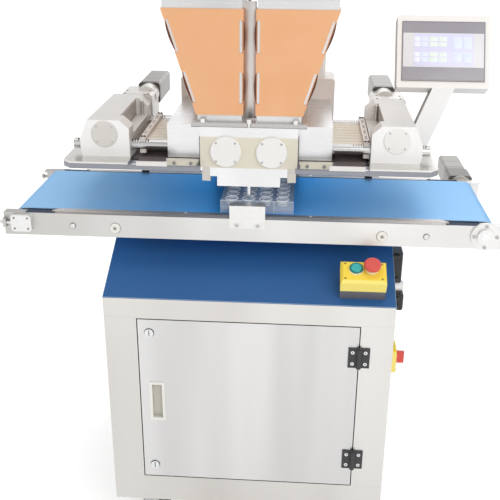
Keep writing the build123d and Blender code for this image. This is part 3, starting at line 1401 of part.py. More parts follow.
def hopper():
    """Open steel hopper: flange with the feed slot, neck, tapered bin, and a rim with a turned-out edge."""
    y0 = HOPPER_SETBACK
    y1 = HOPPER_REAR
    wall = HOPPER_WALL
    flange_top = HEAD_TOP + HOPPER_FLANGE
    outer = span(HOPPER_INNER, HOPPER_OUTER_LOW, y0, y1, flange_top - EPS, NECK_TOP)
    outer += prism_y(hopper_outline(0, NECK_TOP, TAPER_TOP), y0, y1)
    outer += span(HOPPER_INNER, HOPPER_OUTER_HIGH, y0, y1, TAPER_TOP, HOPPER_TOP)
    inner = span(HOPPER_INNER + wall, HOPPER_OUTER_LOW - wall, y0 + wall, y1 - wall, flange_top, NECK_TOP)
    inner += prism_y(hopper_outline(-wall, NECK_TOP, TAPER_TOP), y0 + wall, y1 - wall)
    inner += span(
        HOPPER_INNER + wall,
        HOPPER_OUTER_HIGH - wall,
        y0 + wall,
        y1 - wall,
        TAPER_TOP,
        HOPPER_TOP + EPS,
    )
    rim = span(
        HOPPER_INNER - RIM_WIDTH,
        HOPPER_OUTER_HIGH + RIM_WIDTH,
        y0 - RIM_WIDTH,
        y1 + RIM_WIDTH,
        HOPPER_TOP - wall,
        HOPPER_TOP,
    )
    flange = span(FLANGE_INNER, FLANGE_OUTER, y0 - FLANGE_LIP, y1 + FLANGE_LIP, HEAD_TOP, flange_top)
    shell = outer + rim + flange - inner
    half = FEED_SLOT / 2
    shell -= span(SPOOL_X - half, SPOOL_X + half, FEED_FRONT, FEED_REAR, HEAD_TOP - EPS, flange_top + EPS)
    for y in BOLT_YS:
        shell -= rod_z(BOLT_OUTER_X, y, HEAD_TOP - EPS, flange_top + EPS, BOLT_RADIUS + APART)
        shell -= rod_z(0, y, HEAD_TOP - EPS, flange_top + EPS, BOLT_RADIUS + APART)
    return shell


def heater_jacket():
    """Orange cover round the taper, open on the inner side, with two long slots at each corner."""
    near = APART
    far = APART + JACKET_THICK
    low = NECK_TOP
    high = TAPER_TOP
    y0 = HOPPER_SETBACK
    y1 = HOPPER_REAR
    jacket = prism_y(hopper_outline(far, low, high), y0 - far, y1 + far)
    jacket -= prism_y(hopper_outline(near, low - EPS, high + EPS), y0 - near, y1 + near)
    inner = HOPPER_INNER - far
    open_front = y0 + JACKET_RETURN
    open_rear = y1 - JACKET_RETURN
    jacket -= span(inner - EPS, inner + far + EPS, open_front, open_rear, low - EPS, high + EPS)
    reach = JACKET_SLOT_REACH
    for foot in (low + LOW_SLOT, low + HIGH_SLOT):
        top = foot + JACKET_SLOT_HEIGHT
        _, (x0, _), (x1, _), _ = hopper_outline(far, foot, top)
        corner = [(x0 - reach, foot), (x0 + EPS, foot), (x1 + EPS, top), (x1 - reach, top)]
        for edge in (y0 - far, y1 + far):
            jacket -= prism_y(corner, edge - reach, edge + reach)
            jacket -= span(inner - EPS, inner + reach, edge - reach, edge + reach, foot, top)
    return jacket


def clamp_bolt(x, y):
    """Hand bolt through the hopper flanges, its round head on top."""
    top = HEAD_TOP + HOPPER_FLANGE
    bolt = rod_z(x, y, HEAD_TOP, top + EPS, BOLT_RADIUS)
    return bolt + rod_z(x, y, top, top + BOLT_HEAD, BOLT_HEAD_RADIUS)


# Touch screen on its arm, the screen in a frame of its own: x right, y up its face, z out of it


def on_screen():
    tilt = math.radians(SCREEN_TILT)
    return Location(
        Plane(
            origin=(SCREEN_X, SCREEN_SETBACK, SCREEN_BOTTOM),
            x_dir=(1, 0, 0),
            z_dir=(0, -math.cos(tilt), math.sin(tilt)),
        )
    )


def screen_housing():
    """Box behind the panel, with the recess that the panel sits in."""
    half = SCREEN_WIDTH / 2
    box = span(-half, half, 0, SCREEN_HEIGHT, -SCREEN_DEPTH, 0)
    box = fillet(box.edges().filter_by(Axis.Z), SCREEN_ROUND)
    seat = PANEL_WIDTH / 2
    depth = PANEL_THICK - PANEL_PROUD
    box -= span(-seat, seat, PANEL_UP, PANEL_UP + PANEL_HEIGHT, -depth, EPS)
    return on_screen() * box


def screen_panel():
    """Bezel with the display, set in the housing."""
    seat = PANEL_WIDTH / 2
    depth = PANEL_THICK - PANEL_PROUD
    return on_screen() * span(-seat, seat, PANEL_UP, PANEL_UP + PANEL_HEIGHT, -depth, PANEL_PROUD)


def screen_arm():
    """Leaning square tube from the right drive's side up to the housing's underside."""
    foot = PLATE_HALF
    shoulder = DRIVE_OUTER
    lean = SCREEN_ARM_LEAN
    top = SCREEN_BOTTOM + SCREEN_DEPTH
    right_top = foot + lean * (top - PLATE_TOP)
    left_top = right_top - SCREEN_ARM_WIDTH
    left_start = PLATE_TOP + (shoulder - foot + SCREEN_ARM_WIDTH) / lean
    outline = [
        (shoulder, PLATE_TOP),
        (foot, PLATE_TOP),
        (right_top, top),
        (left_top, top),
        (shoulder, left_start),
    ]
    y0 = SCREEN_SETBACK
    arm = prism_y(outline, y0, y0 + SCREEN_ARM_DEPTH)
    reach = SCREEN_HEIGHT
    return arm - on_screen() * span(-SCREEN_WIDTH, SCREEN_WIDTH, 0, SCREEN_HEIGHT, -reach, reach)


# Mould


def mould():
    """Clear tray: skirt and a deck with tapered cups, one row of them under the nozzles."""
    half = MOULD_WIDTH / 2
    y0 = MOULD_FRONT
    y1 = MOULD_REAR
    low = BELT_TOP + APART
    top = low + MOULD_HEIGHT
    deck = CUP_DEPTH + CUP_FLOOR
    tray = span(-half, half, y0, y1, low, top)
    tray -= span(
        MOULD_WALL - half,
        half - MOULD_WALL,
        y0 + MOULD_WALL,
        y1 - MOULD_WALL,
        low - EPS,
        top - deck,
    )
    first = -(CUP_COLUMNS - 1) / 2 * CUP_PITCH_X
    for y in NOZZLE_YS:
        for column_index in range(CUP_COLUMNS):
            x = first + column_index * CUP_PITCH_X
            tray -= Pos(x, y, top - CUP_DEPTH / 2) * Cone(CUP_FLOOR_RADIUS, CUP_RADIUS, CUP_DEPTH)
    return Pos(CUP_PITCH_X / 2, 0, 0) * tray


# Electrical panel


def electrical_panel():
    """Plate on stand-offs at the cabinet's back, with drive units, controller and power supply on it."""
    wall = CABINET_DEPTH - SHEET
    back = wall - ELECTRIC_STANDOFF
    face = back - ELECTRIC_THICK
    left = CABINET_LEFT + ELECTRIC_MARGIN
    right = CABINET_RIGHT - ELECTRIC_MARGIN
    bottom = CABINET_BOTTOM + ELECTRIC_RISE
    top = bottom + ELECTRIC_HEIGHT
    pieces = [span(left, right, face, back, bottom, top)]
    inset = 3 * STANDOFF_RADIUS
    for x in (left + inset, right - inset):
        for z in (bottom + inset, top - inset):
            pieces.append(rod_y(x, back, wall, z, STANDOFF_RADIUS))
    z1 = top - ELECTRIC_BORDER
    for index in range(DRIVE_UNITS):
        x = CABINET_SHIFT + (index - (DRIVE_UNITS - 1) / 2) * DRIVE_UNIT_PITCH
        wide = DRIVE_UNIT_WIDTH / 2
        pieces.append(span(x - wide, x + wide, face - DRIVE_UNIT_DEPTH, face, z1 - DRIVE_UNIT_HEIGHT, z1))
    z0 = bottom + ELECTRIC_BORDER
    x0 = left + ELECTRIC_BORDER
    x1 = right - ELECTRIC_BORDER
    pieces.append(span(x0, x0 + CONTROLLER_WIDTH, face - CONTROLLER_DEPTH, face, z0, z0 + CONTROLLER_HEIGHT))
    pieces.append(span(x1 - SUPPLY_WIDTH, x1, face - SUPPLY_DEPTH, face, z0, z0 + SUPPLY_HEIGHT))
    return pieces + [isolator_body()]


# Cabinet nodes
save("cabinet_shell", cabinet_shell())
save("console_top", console_top())
save("cabinet_door", cabinet_door())
save("door_pull", door_pull())
for latch_name, latch_place in zip(("upper_latch", "lower_latch"), latch_places()):
    save(latch_name, latch(*latch_place))
save("frame_hinge_leaves", *[hinge_leaf(z, 1) for z in hinge_heights()])
door_leaves = [hinge_leaf(z, -1) for z in hinge_heights()]
save("door_hinge_leaves", *door_leaves, *[hinge_pin(z) for z in hinge_heights()])
save("electrical_panel", *electrical_panel())
save("isolator_plate", isolator_plate())
save("isolator_knob", isolator_knob())
save("vent_grille", vent_grille())
upper_hood = connector_hood(UPPER_HOOD_RISE, UPPER_HOOD_HEIGHT, UPPER_HOOD_PROUD)
lower_hood = connector_hood(LOWER_HOOD_RISE, LOWER_HOOD_HEIGHT, LOWER_HOOD_PROUD)
save("connector_hoods", upper_hood, lower_hood)
save("button_box_base", button_box_base())
save("button_box_lid", button_box_lid())
save("start_button", start_button())
save("stop_button", stop_button())

# Caster nodes
CASTER_NAMES = ("front_left", "front_right", "rear_left", "rear_right")
save("caster_plates", *[caster_plate(x, y) for x, y in caster_places()])
for caster_name, (caster_x, caster_y) in zip(CASTER_NAMES, caster_places()):
    is_braked = caster_name.startswith("front")
    save(f"caster_fork_{caster_name}", caster_fork(caster_x, caster_y, is_braked))
    if is_braked:
        save(f"caster_brake_{caster_name}", caster_brake(caster_x, caster_y))
    save(f"caster_wheel_{caster_name}", *caster_wheel(caster_x, caster_y))

# Conveyor nodes
rail_pieces = [conveyor_rail(), belt_guide()]
save("conveyor_rails", *rail_pieces, *[other_rail(piece) for piece in rail_pieces])
save("conveyor_belt", conveyor_belt())
save("idler_roller", roller(IDLER_X, BEARING_THICK - APART, BEARING_THICK - APART))
save("drive_roller", roller(DRIVE_X, BEARING_THICK - APART, BEARING_THICK + DRIVE_SHAFT_REAR))
end_bearings = [flange_bearing(), tension_block(), tension_screw()]
save("end_bearings", *end_bearings, *[other_rail(piece) for piece in end_bearings])
bars = [cross_bar(x) for x in (-OUTER_BAR_X, -INNER_BAR_X, INNER_BAR_X, OUTER_BAR_X)]
save("conveyor_supports", slider_bed(), *bars, support_arm(-ARM_X), support_arm(ARM_X))
save("mould_sensors", sensor_bracket(), sensor_eye(), rear_sensor(-STOP_X), rear_sensor(STOP_X))
save("mould", mould())

# Head and drive nodes
save("base_plate", base_plate())
save("support_columns", column(-COLUMN_X), column(COLUMN_X))
save("cylinder_blocks", cylinder_block(), other_side(cylinder_block()))
save("valve_body", valve_block(), *feed_bars())
save("cream_plates", face_plate(), cream_strip(), other_side(cream_strip()))
covers = [valve_cover(-SPOOL_X), valve_cover(SPOOL_X), drive_cover(), other_side(drive_cover())]
save("round_covers", *covers)
save("left_valve_spool", valve_spool(-1))
save("right_valve_spool", valve_spool(1))
nozzles = [nozzle(y) for y in NOZZLE_YS]
save("nozzle_bar", nozzle_bar(), bar_bracket(), other_side(bar_bracket()), *nozzles)
save("drive_housings", drive_housing(), other_side(drive_housing()))
save("right_pinion_shaft", pinion_shaft())
save("left_pinion_shaft", other_side(pinion_shaft()))
save("right_rack_rods", rack_rod(FRONT_ROD_Y, 0), rack_rod(REAR_ROD_Y, 0))
left_rods = [rack_rod(FRONT_ROD_Y, LEFT_ADVANCE), rack_rod(REAR_ROD_Y, LEFT_ADVANCE)]
save("left_rack_rods", *[other_side(rod) for rod in left_rods])
save("right_pistons", yoke(0), *[piston(y, 0) for y in PISTON_YS])
left_pistons = [yoke(LEFT_ADVANCE)] + [piston(y, LEFT_ADVANCE) for y in PISTON_YS]
save("left_pistons", *[other_side(piece) for piece in left_pistons])
right_servo = [gear_block(RIGHT_BLOCK_INNER, RIGHT_MOTOR_X), drive_motor(RIGHT_MOTOR_X)]
left_servo = [gear_block(LEFT_BLOCK_INNER, LEFT_MOTOR_X), drive_motor(LEFT_MOTOR_X)]
belt_servo = [belt_gearbox(), belt_motor()]
valve_motors = [valve_motor(-VALVE_MOTOR_X), valve_motor(VALVE_MOTOR_X)]
save("servo_units", *right_servo, *[other_side(piece) for piece in left_servo], *valve_motors, *belt_servo)
save("valve_drive_box", valve_drive_box())

# Hopper and screen nodes
save("hoppers", hopper(), other_side(hopper()))
save("heater_jackets", heater_jacket(), other_side(heater_jacket()))
save("clamp_bolts", *[clamp_bolt(x, y) for x in BOLT_XS for y in BOLT_YS])
save("screen_arm", screen_arm())
save("screen_housing", screen_housing())
save("screen_panel", screen_panel())
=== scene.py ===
import math

import bmesh
import bpy
import numpy as np
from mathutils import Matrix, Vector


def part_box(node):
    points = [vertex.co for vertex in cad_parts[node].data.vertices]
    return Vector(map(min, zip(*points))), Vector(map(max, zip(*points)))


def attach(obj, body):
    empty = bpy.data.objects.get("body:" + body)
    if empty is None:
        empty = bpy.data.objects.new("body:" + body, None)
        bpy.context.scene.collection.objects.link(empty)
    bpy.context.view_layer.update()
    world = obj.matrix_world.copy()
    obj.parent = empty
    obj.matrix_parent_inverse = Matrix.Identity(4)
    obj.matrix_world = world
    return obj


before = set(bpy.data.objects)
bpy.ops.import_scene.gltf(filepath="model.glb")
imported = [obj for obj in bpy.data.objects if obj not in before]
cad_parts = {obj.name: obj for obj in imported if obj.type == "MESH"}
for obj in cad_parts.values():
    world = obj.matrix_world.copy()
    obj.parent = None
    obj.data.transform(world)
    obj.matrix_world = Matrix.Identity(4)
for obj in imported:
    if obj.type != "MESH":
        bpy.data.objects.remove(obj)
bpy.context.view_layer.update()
bpy.context.scene.view_settings.view_transform = "Standard"


# Cabinet shell: a box folded from 2 mm stainless sheet and welded at the corners.
# The outside is brushed along its width, so it shows fine level lines, and broad, faint
# upright bands of painted reflection lie over them.
def linear(code):
    """sRGB hex to linear RGBA: c / 12.92 up to 0.04045, above it ((c + 0.055) / 1.055) to the power 2.4."""
    srgb = np.array([int(code[i : i + 2], 16) for i in (1, 3, 5)]) / 255
    value = np.where(srgb <= 0.04045, srgb / 12.92, ((srgb + 0.055) / 1.055) ** 2.4)
    return (*value.tolist(), 1.0)


def add(tree, kind, inputs=None, **settings):
    """Add one node to a tree: settings are its properties, inputs its values or the sockets to link."""
    node = tree.nodes.new(kind)
    for name, value in settings.items():
        setattr(node, name, value)
    for name, value in (inputs or {}).items():
        if isinstance(value, bpy.types.NodeSocket):
            tree.links.new(value, node.inputs[name])
        else:
            node.inputs[name].default_value = value
    return node


def finish(name, slot="", **sockets):
    """A material with its values set on the shader's sockets; gives the material, tree, shader and place.

    The slot names the record's material that pieces made of it belong to.
    """
    material = bpy.data.materials.new(name)
    material.use_nodes = True
    material["slot"] = slot
    tree = material.node_tree
    shader = tree.nodes["Principled BSDF"]
    for socket, value in sockets.items():
        shader.inputs[socket.replace("_", " ")].default_value = value
    place = add(tree, "ShaderNodeTexCoord").outputs["Object"]
    return material, tree, shader, place


def dress(material, *nodes):
    """Give CAD nodes this material."""
    for name in nodes:
        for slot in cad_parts[name].material_slots:
            slot.material = material


def colour_by(material, pattern, dark, pale):
    """Colour a material from dark to pale as a pattern on it goes from 0 to 1, and give that tone."""
    tree = material.node_tree
    tones = {0: pattern, 6: linear(dark), 7: linear(pale)}
    tone = add(tree, "ShaderNodeMix", tones, data_type="RGBA").outputs[2]
    tree.links.new(tone, tree.nodes["Principled BSDF"].inputs["Base Color"])
    return tone


def drawn_lines(tree, place, stretch, spots=1.0, detail=2.0):
    """Noise stretched by so much per metre along X, Y and Z: lines left by a brush, a grinder or a die."""
    stretched = add(tree, "ShaderNodeMapping", {"Vector": place, "Scale": stretch}).outputs["Vector"]
    noise = {"Vector": stretched, "Scale": spots, "Detail": detail}
    return add(tree, "ShaderNodeTexNoise", noise).outputs["Fac"]


def brushed_steel(name, dark, pale, roughness, lines, bands=(2.0, 2.0, 0.4), slot="stainless", metallic=1.0):
    """Brushed stainless: fine lines over broad bands set the tone, the lines alone roughness and bump; bands
    stretched upright are painted reflection bands.

    The line spacing of 1 to 2 mm is coarser than a real brush, which would be too fine to show.
    """
    material, tree, shader, place = finish(name, slot, Metallic=metallic)
    grain = drawn_lines(tree, place, lines, detail=3.0)
    cloud = drawn_lines(tree, place, bands, 2.0, 1.0)
    show = 0.15
    both = add(tree, "ShaderNodeMath", {0: grain, 1: show, 2: cloud}, operation="MULTIPLY_ADD").outputs[0]
    ends = {"Value": both, "From Min": 0.3 + show / 2, "From Max": 0.7 + show / 2}
    share = add(tree, "ShaderNodeMapRange", ends).outputs[0]
    colour_by(material, share, dark, pale)
    rough = {"Value": grain, "From Min": 0.3, "From Max": 0.7}
    rough |= {"To Min": roughness - 0.05, "To Max": roughness + 0.07}
    tree.links.new(add(tree, "ShaderNodeMapRange", rough).outputs[0], shader.inputs["Roughness"])
    bump = add(tree, "ShaderNodeBump", {"Height": grain, "Strength": 0.05, "Distance": 0.0005}).outputs[0]
    tree.links.new(bump, shader.inputs["Normal"])
    return material


cabinet_steel = brushed_steel("brushed_stainless_cabinet", "#C6C3BF", "#D7D5D2", 0.36, (8.0, 8.0, 700.0))
dress(cabinet_steel, "cabinet_shell")


def closed_mesh(name, grids, material):
    """One mesh from like surfaces, (copies, rows, columns, 3): columns close round, poles merge."""
    grids = np.asarray(grids, dtype=float)
    copies, rows, columns, _ = grids.shape
    index = np.arange(copies * rows * columns).reshape(copies, rows, columns)
    right = np.roll(index, -1, axis=2)
    quads = np.stack([index[:, :-1], right[:, :-1], right[:, 1:], index[:, 1:]], axis=-1).reshape(-1, 4)
    mesh = bpy.data.meshes.new(name)
    mesh.from_pydata(grids.reshape(-1, 3).tolist(), [], quads.tolist())
    work = bmesh.new()
    work.from_mesh(mesh)
    bmesh.ops.remove_doubles(work, verts=work.verts, dist=1e-7)
    bmesh.ops.dissolve_degenerate(work, edges=work.edges, dist=1e-8)
    bmesh.ops.recalc_face_normals(work, faces=work.faces)
    work.to_mesh(mesh)
    work.free()
    mesh.shade_smooth()
    mesh.set_sharp_from_angle(angle=math.radians(35))
    mesh.materials.append(material)
    piece = bpy.data.objects.new(name, mesh)
    bpy.context.collection.objects.link(piece)
    return piece


def shell_of(name, grids, material, body="frame"):
    """Make such a mesh a piece of the machine: it rides on a body."""
    piece = closed_mesh(name, grids, material)
    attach(piece, body)


def rounded_boxes(name, boxes, corner, material, body="frame", axes=np.eye(3), origin=(0, 0, 0), steps=4):
    """Boxes (low, high corners) with rounded edges: a ball of the corner radius, pulled apart to fit.

    Each of the ball's eight parts moves to its own corner of the box; rows run from pole to pole.
    """
    boxes = np.array(boxes, dtype=float)
    middle = boxes.mean(axis=1)
    half = (boxes[:, 1] - boxes[:, 0]) / 2
    corner = np.minimum(corner, half.min(axis=1) * 0.98)
    quarter = np.linspace(0, np.pi / 2, steps)
    rise = np.concatenate([quarter - np.pi / 2, quarter])[:, None]
    turn = np.concatenate([quarter + i * np.pi / 2 for i in range(4)])[None]
    ball = [np.cos(rise) * np.cos(turn), np.cos(rise) * np.sin(turn), np.sin(rise)]
    ball = np.stack(np.broadcast_arrays(*ball), axis=-1)
    side_x = np.repeat([1, -1, -1, 1], steps)[None]
    side_y = np.repeat([1, 1, -1, -1], steps)[None]
    side_z = np.repeat([-1, 1], steps)[:, None]
    signs = np.stack(np.broadcast_arrays(side_x, side_y, side_z), axis=-1)
    core = (half - corner[:, None])[:, None, None, :] * signs[None] + corner[:, None, None, None] * ball[None]
    bottom = np.zeros_like(core[:, :1])
    bottom[..., 2] = -half[:, None, None, 2]
    points = np.concatenate([bottom, core, -bottom], axis=1) + middle[:, None, None, :]
    shell_of(name, points @ axes + origin, material, body)


weld_steel = brushed_steel("ground_weld_steel", "#BDBAB6", "#C9C6C2", 0.3, (300.0, 300.0, 40.0))
front_wall = -0.3438
frame_sides = ((-0.3415, -0.2635), (0.2795, 0.3575))
weld_heights = (0.1755, 0.648)
welds = [
    [(x0, front_wall - 0.0001, z - 0.0005), (x1, front_wall + 0.0004, z + 0.0005)]
    for x0, x1 in frame_sides
    for z in weld_heights
]
rounded_boxes("weld_seams", welds, 0.0002, weld_steel, steps=2)


# Rear access panel: a folded sheet screwed over the opening in the back wall, with two
# rows of pressed louvres for the drives inside.
rear_wall = 0.3162
panel_face = rear_wall + 0.0012
panel_sheet = [[(-0.292, rear_wall - 0.0004, 0.16), (0.308, panel_face, 0.64)]]
rounded_boxes("rear_panel", panel_sheet, 0.0006, cabinet_steel, steps=3)


def louvres(name, places, length, width, proud, material):
    """Pressed louvres: a quarter-ellipse profile along X whose height falls to nothing at both ends."""
    along = np.linspace(-1, 1, 17)[:, None]
    bow = np.clip(1 - along**6, 0, 1)
    turn = np.linspace(0, np.pi / 2, 7)
    drop = np.concatenate([np.sin(turn), [1.0, 0.0]])[None]
    out = np.concatenate([np.cos(turn), [-0.2, -0.2]])[None]
    slit = [length / 2 * along, proud * np.where(out > 0, out * bow, out), -width * drop]
    slit = np.stack(np.broadcast_arrays(*slit), axis=-1)
    slit[[0, -1]] = slit[[0, -1]].mean(axis=1, keepdims=True)
    shell_of(name, np.array(places)[:, None, None] + slit[None], material)


louvre_places = [(x, panel_face, z) for x in (-0.132, 0.148) for z in np.arange(0.205, 0.3, 0.018)]
louvres("rear_louvres", louvre_places, 0.16, 0.01, 0.006, cabinet_steel)


# Console top: one blue powder-coated sheet, folded over the slope and the flat top.
# Powder coat is a satin plastic film with a fine orange-peel skin of about 2 mm. Thin pale
# strips along its folded edges are painted highlights.
def mottled(name, dark, pale, spots, detail=2.0, slot="", **sockets):
    """A finish whose tone wanders from dark to pale by noise, with so many spots a metre."""
    material, tree, _, place = finish(name, slot, **sockets)
    noise = {"Vector": place, "Scale": spots, "Detail": detail}
    cloud = add(tree, "ShaderNodeTexNoise", noise).outputs["Fac"]
    colour_by(material, cloud, dark, pale)
    return material


def grained(material, spots, strength, height, detail=1.0):
    """Raise a grain on a material as bump: noise with so many spots a metre, this high in metres."""
    tree = material.node_tree
    place = add(tree, "ShaderNodeTexCoord").outputs["Object"]
    noise = {"Vector": place, "Scale": spots, "Detail": detail}
    grain = add(tree, "ShaderNodeTexNoise", noise).outputs["Fac"]
    bump = add(tree, "ShaderNodeBump", {"Height": grain, "Strength": strength, "Distance": height}).outputs[0]
    tree.links.new(bump, tree.nodes["Principled BSDF"].inputs["Normal"])
    return material


def powder_coat(name, dark, pale, roughness, slot=""):
    """Powder coat: slow tone change over 200 mm, orange peel of about 2 mm as bump."""
    coat = mottled(name, dark, pale, 5.0, slot=slot, Roughness=roughness, Specular_IOR_Level=0.35)
    return grained(coat, 500.0, 0.06, 0.0004)


dress(powder_coat("blue_powder_coat", "#295B93", "#2E629B", 0.55), "console_top")
slope = math.radians(25.6)
rise, run = math.sin(slope), math.cos(slope)
slope_axes = np.array([[1, 0, 0], [0, run, rise], [0, -rise, run]])
slope_foot = np.array([-0.342, front_wall, 0.7])
slope_width, slope_length = 0.7, 0.2661
# Painted highlights: thin pale strips along the slope's front and side folds.
edge_highlight_coat = powder_coat("blue_edge_highlight", "#8FA9C4", "#B4C4D4", 0.4, "blue_paint")
edges = [
    [(0.0, -0.0002, -0.0008), (slope_width, 0.0008, 0.0003)],
    [(-0.0002, 0.0, -0.0008), (0.0007, slope_length, 0.0003)],
    [(slope_width - 0.0007, 0.0, -0.0008), (slope_width + 0.0002, slope_length, 0.0003)],
]
rounded_boxes("painted_edge_highlights", edges, 0.0004, edge_highlight_coat, "frame", slope_axes, slope_foot, 3)


# Door: a pressed stainless tray with a cooler, finer brush than the shell, a recessed
# pull of pale moulded plastic and two chromed quarter-turn latches.
door_steel = brushed_steel(
    "brushed_stainless_door", "#C6C5C5", "#D5D4D4", 0.33, (8.0, 8.0, 900.0), (5.0, 5.0, 0.3)
)
dress(door_steel, "cabinet_door")


def lay_over(material, tone, where=1.0, **limits):
    """Lay a tone over a material's colour where every limit holds, and give the mask.

    The tone is one colour, or a pattern with its dark and pale colours, as colour_by takes them.
    X, Y or Z limits the place on the piece, facing_X, facing_Y or facing_Z the way its surface faces.
    """
    tree = material.node_tree
    for limit, (low, high) in limits.items():
        facing = limit.startswith("facing")
        kind, output = ("ShaderNodeNewGeometry", "Normal") if facing else ("ShaderNodeTexCoord", "Object")
        part = add(tree, "ShaderNodeSeparateXYZ", {0: add(tree, kind).outputs[output]}).outputs[limit[-1]]
        span = {0: part, 1: (low + high) / 2, 2: (high - low) / 2}
        held = add(tree, "ShaderNodeMath", span, operation="COMPARE").outputs[0]
        where = add(tree, "ShaderNodeMath", {0: where, 1: held}, operation="MULTIPLY").outputs[0]
    colour = tree.nodes["Principled BSDF"].inputs["Base Color"]
    layers = {0: where, 6: colour.links[0].from_socket}
    layers[7] = linear(tone) if isinstance(tone, str) else colour_by(material, *tone)
    tree.links.new(add(tree, "ShaderNodeMix", layers, data_type="RGBA").outputs[2], colour)
    return where


def smeared(material, spots, low, high):
    """Smears on a smooth surface: roughness from low to high by noise with so many spots a metre."""
    tree = material.node_tree
    place = add(tree, "ShaderNodeTexCoord").outputs["Object"]
    smear = add(tree, "ShaderNodeTexNoise", {"Vector": place, "Scale": spots, "Detail": 2.0}).outputs["Fac"]
    rough = add(tree, "ShaderNodeMapRange", {"Value": smear, "To Min": low, "To Max": high}).outputs[0]
    tree.links.new(rough, tree.nodes["Principled BSDF"].inputs["Roughness"])


pull_plastic = powder_coat("pale_moulded_plastic", "#EBE9E2", "#F3F1EB", 0.4)
# Painted shade: the pull is darker from 2 mm behind the door face, inside its recess.
lay_over(pull_plastic, "#CFCCC2", Y=(front_wall + 0.002, front_wall + 0.1))
dress(pull_plastic, "door_pull")
chrome, *_ = finish("polished_chrome", "bright_steel", Metallic=1.0, Base_Color=linear("#D9DADB"))
smeared(chrome, 90.0, 0.08, 0.22)
dress(chrome, "upper_latch", "lower_latch")
# One black tone: real black screws, and painted shade for the dark boxes and strips set in slots and gaps.
slot_shade = mottled("black_steel_and_painted_shade", "#2A292A", "#454446", 900.0, slot="black_metal", Roughness=0.5)
latch_x, latch_face = -0.2325, -0.3468
latch_heights = {"upper_latch": 0.607, "lower_latch": 0.2165}
slot_half, slot_reach = 0.00095, 0.0079
# Painted shade: a dark box inside each latch slot.
for name, z in latch_heights.items():
    low = (latch_x - slot_half, latch_face + 0.0012, z - slot_reach)
    high = (latch_x + slot_half, latch_face + 0.0022, z + slot_reach)
    rounded_boxes(f"{name}_slot", [[low, high]], 0.0003, slot_shade, name, steps=2)


# Hinges: black die-cast leaves, each fixed with two bright countersunk screws.
# The casting has a fine sandy skin; the screws have a turned rim and a drive recess.
cast_black = mottled("black_die_cast", "#2B2A2D", "#3C3B3F", 1200.0, slot="black_metal", Roughness=0.5)
grained(cast_black, 1200.0, 0.15, 0.0003, 2.0)
dress(cast_black, "frame_hinge_leaves", "door_hinge_leaves")


def turned(name, profile, places, axis, material, body="frame", around=20, ring=False):
    """Turned pieces: a profile of (radius, height) pairs carried round an axis through each place.

    A ring's profile goes back to its first pair.
    """
    axis = np.array(axis, dtype=float) / np.linalg.norm(axis)
    side = np.cross(axis, (0.0, 0.0, 1.0) if abs(axis[2]) < 0.9 else (1.0, 0.0, 0.0))
    side /= np.linalg.norm(side)
    other = np.cross(axis, side)
    angle = np.linspace(0, 2 * np.pi, around, endpoint=False)
    spoke = np.cos(angle)[:, None] * side + np.sin(angle)[:, None] * other
    radius, height = np.array(profile + profile[:1] if ring else profile, dtype=float).T
    circle = radius[:, None, None] * spoke[None] + height[:, None, None] * axis
    shell_of(name, np.array(places, dtype=float)[:, None, None, :] + circle[None], material, body)


def screw(head, rise, socket, depth, sunk=0.0005):
    """Profile of a cap screw: bore floor, socket wall, broken top edge, side down into the work."""
    edge = rise * 0.25
    bore = [(0, rise - depth), (socket, rise - depth), (socket, rise)]
    return bore + [(head - edge, rise), (head, rise - edge), (head, -sunk), (0, -sunk)]


to_front, to_rear, to_right, upward, downward = (0, -1, 0), (0, 1, 0), (1, 0, 0), (0, 0, 1), (0, 0, -1)
bright_screw = mottled("bright_zinc_screw", "#C9C8C6", "#EFEEEC", 700.0, slot="zinc", Metallic=1.0)
smeared(bright_screw, 700.0, 0.2, 0.45)
hinge_line, hinge_face, screw_offset = 0.27775, -0.3478, 0.0155
screw_heights = [z + side * screw_offset for z in (0.561, 0.2625) for side in (-1, 1)]
countersunk = screw(0.0046, 0.0006, 0.0018, 0.0011)
for body, side in (("frame", 1), ("door", -1)):
    spots = [(hinge_line + side * screw_offset, hinge_face, z) for z in screw_heights]
    turned(f"hinge_screws_{body}", countersunk, spots, to_front, bright_screw, body)
panel_spots = [(x, panel_face, z) for x in (-0.28, 0.008, 0.296) for z in (0.172, 0.628)]
panel_screw = screw(0.0048, 0.0022, 0.0018, 0.0016)
turned("rear_panel_screws", panel_screw, panel_spots, to_rear, bright_screw)
latch_rim = [(0.0111, -0.0004), (0.0111, 0.0005), (0.0116, 0.0007), (0.0124, 0.0004), (0.0125, -0.0004)]
rim_places = [(latch_x, front_wall, z) for z in latch_heights.values()]
turned("latch_gaskets", latch_rim, rim_places, to_front, slot_shade, "door", 32, ring=True)


# Electrical panel: galvanised plate on stand-offs with the servo drives, controller and
# power supply; between the rows a slotted cable duct and a row of terminals on a rail.
panel_grey, tree, _, place = finish("galvanised_and_grey_cases", Roughness=0.45)
spangle = add(tree, "ShaderNodeTexVoronoi", {"Vector": place, "Scale": 60.0}).outputs["Color"]
colour_by(panel_grey, spangle, "#AEB2B4", "#C6C9CA")
lay_over(panel_grey, "#4A4D50", Y=(-1.0, 0.2907))
dress(panel_grey, "electrical_panel")
plate_face, row_start, row_end = 0.2922, -0.222, 0.236
duct_grey = powder_coat("grey_duct_plastic", "#8D9092", "#9A9D9F", 0.5, "grey_plastic")
duct_front, tooth_pitch = 0.235, 0.012
duct = [[(-0.225, duct_front, low), (0.241, plate_face, low + 0.006)] for low in (0.372, 0.412)]
tooth_starts = np.arange(row_start, row_end, tooth_pitch)
duct += [[(x, duct_front, 0.377), (x + tooth_pitch / 2, plate_face, 0.413)] for x in tooth_starts]
rounded_boxes("cable_duct", duct, 0.0008, duct_grey, steps=2)
terminal_tan = powder_coat("beige_terminal_plastic", "#B9AE94", "#C6BCA3", 0.45, "cream_plastic")
terminal_starts = np.arange(row_start, row_end, 0.0062)
terminals = [[(x, 0.25, 0.438), (x + 0.0052, plate_face, 0.484)] for x in terminal_starts]
rounded_boxes("terminal_row", terminals, 0.0006, terminal_tan, steps=2)


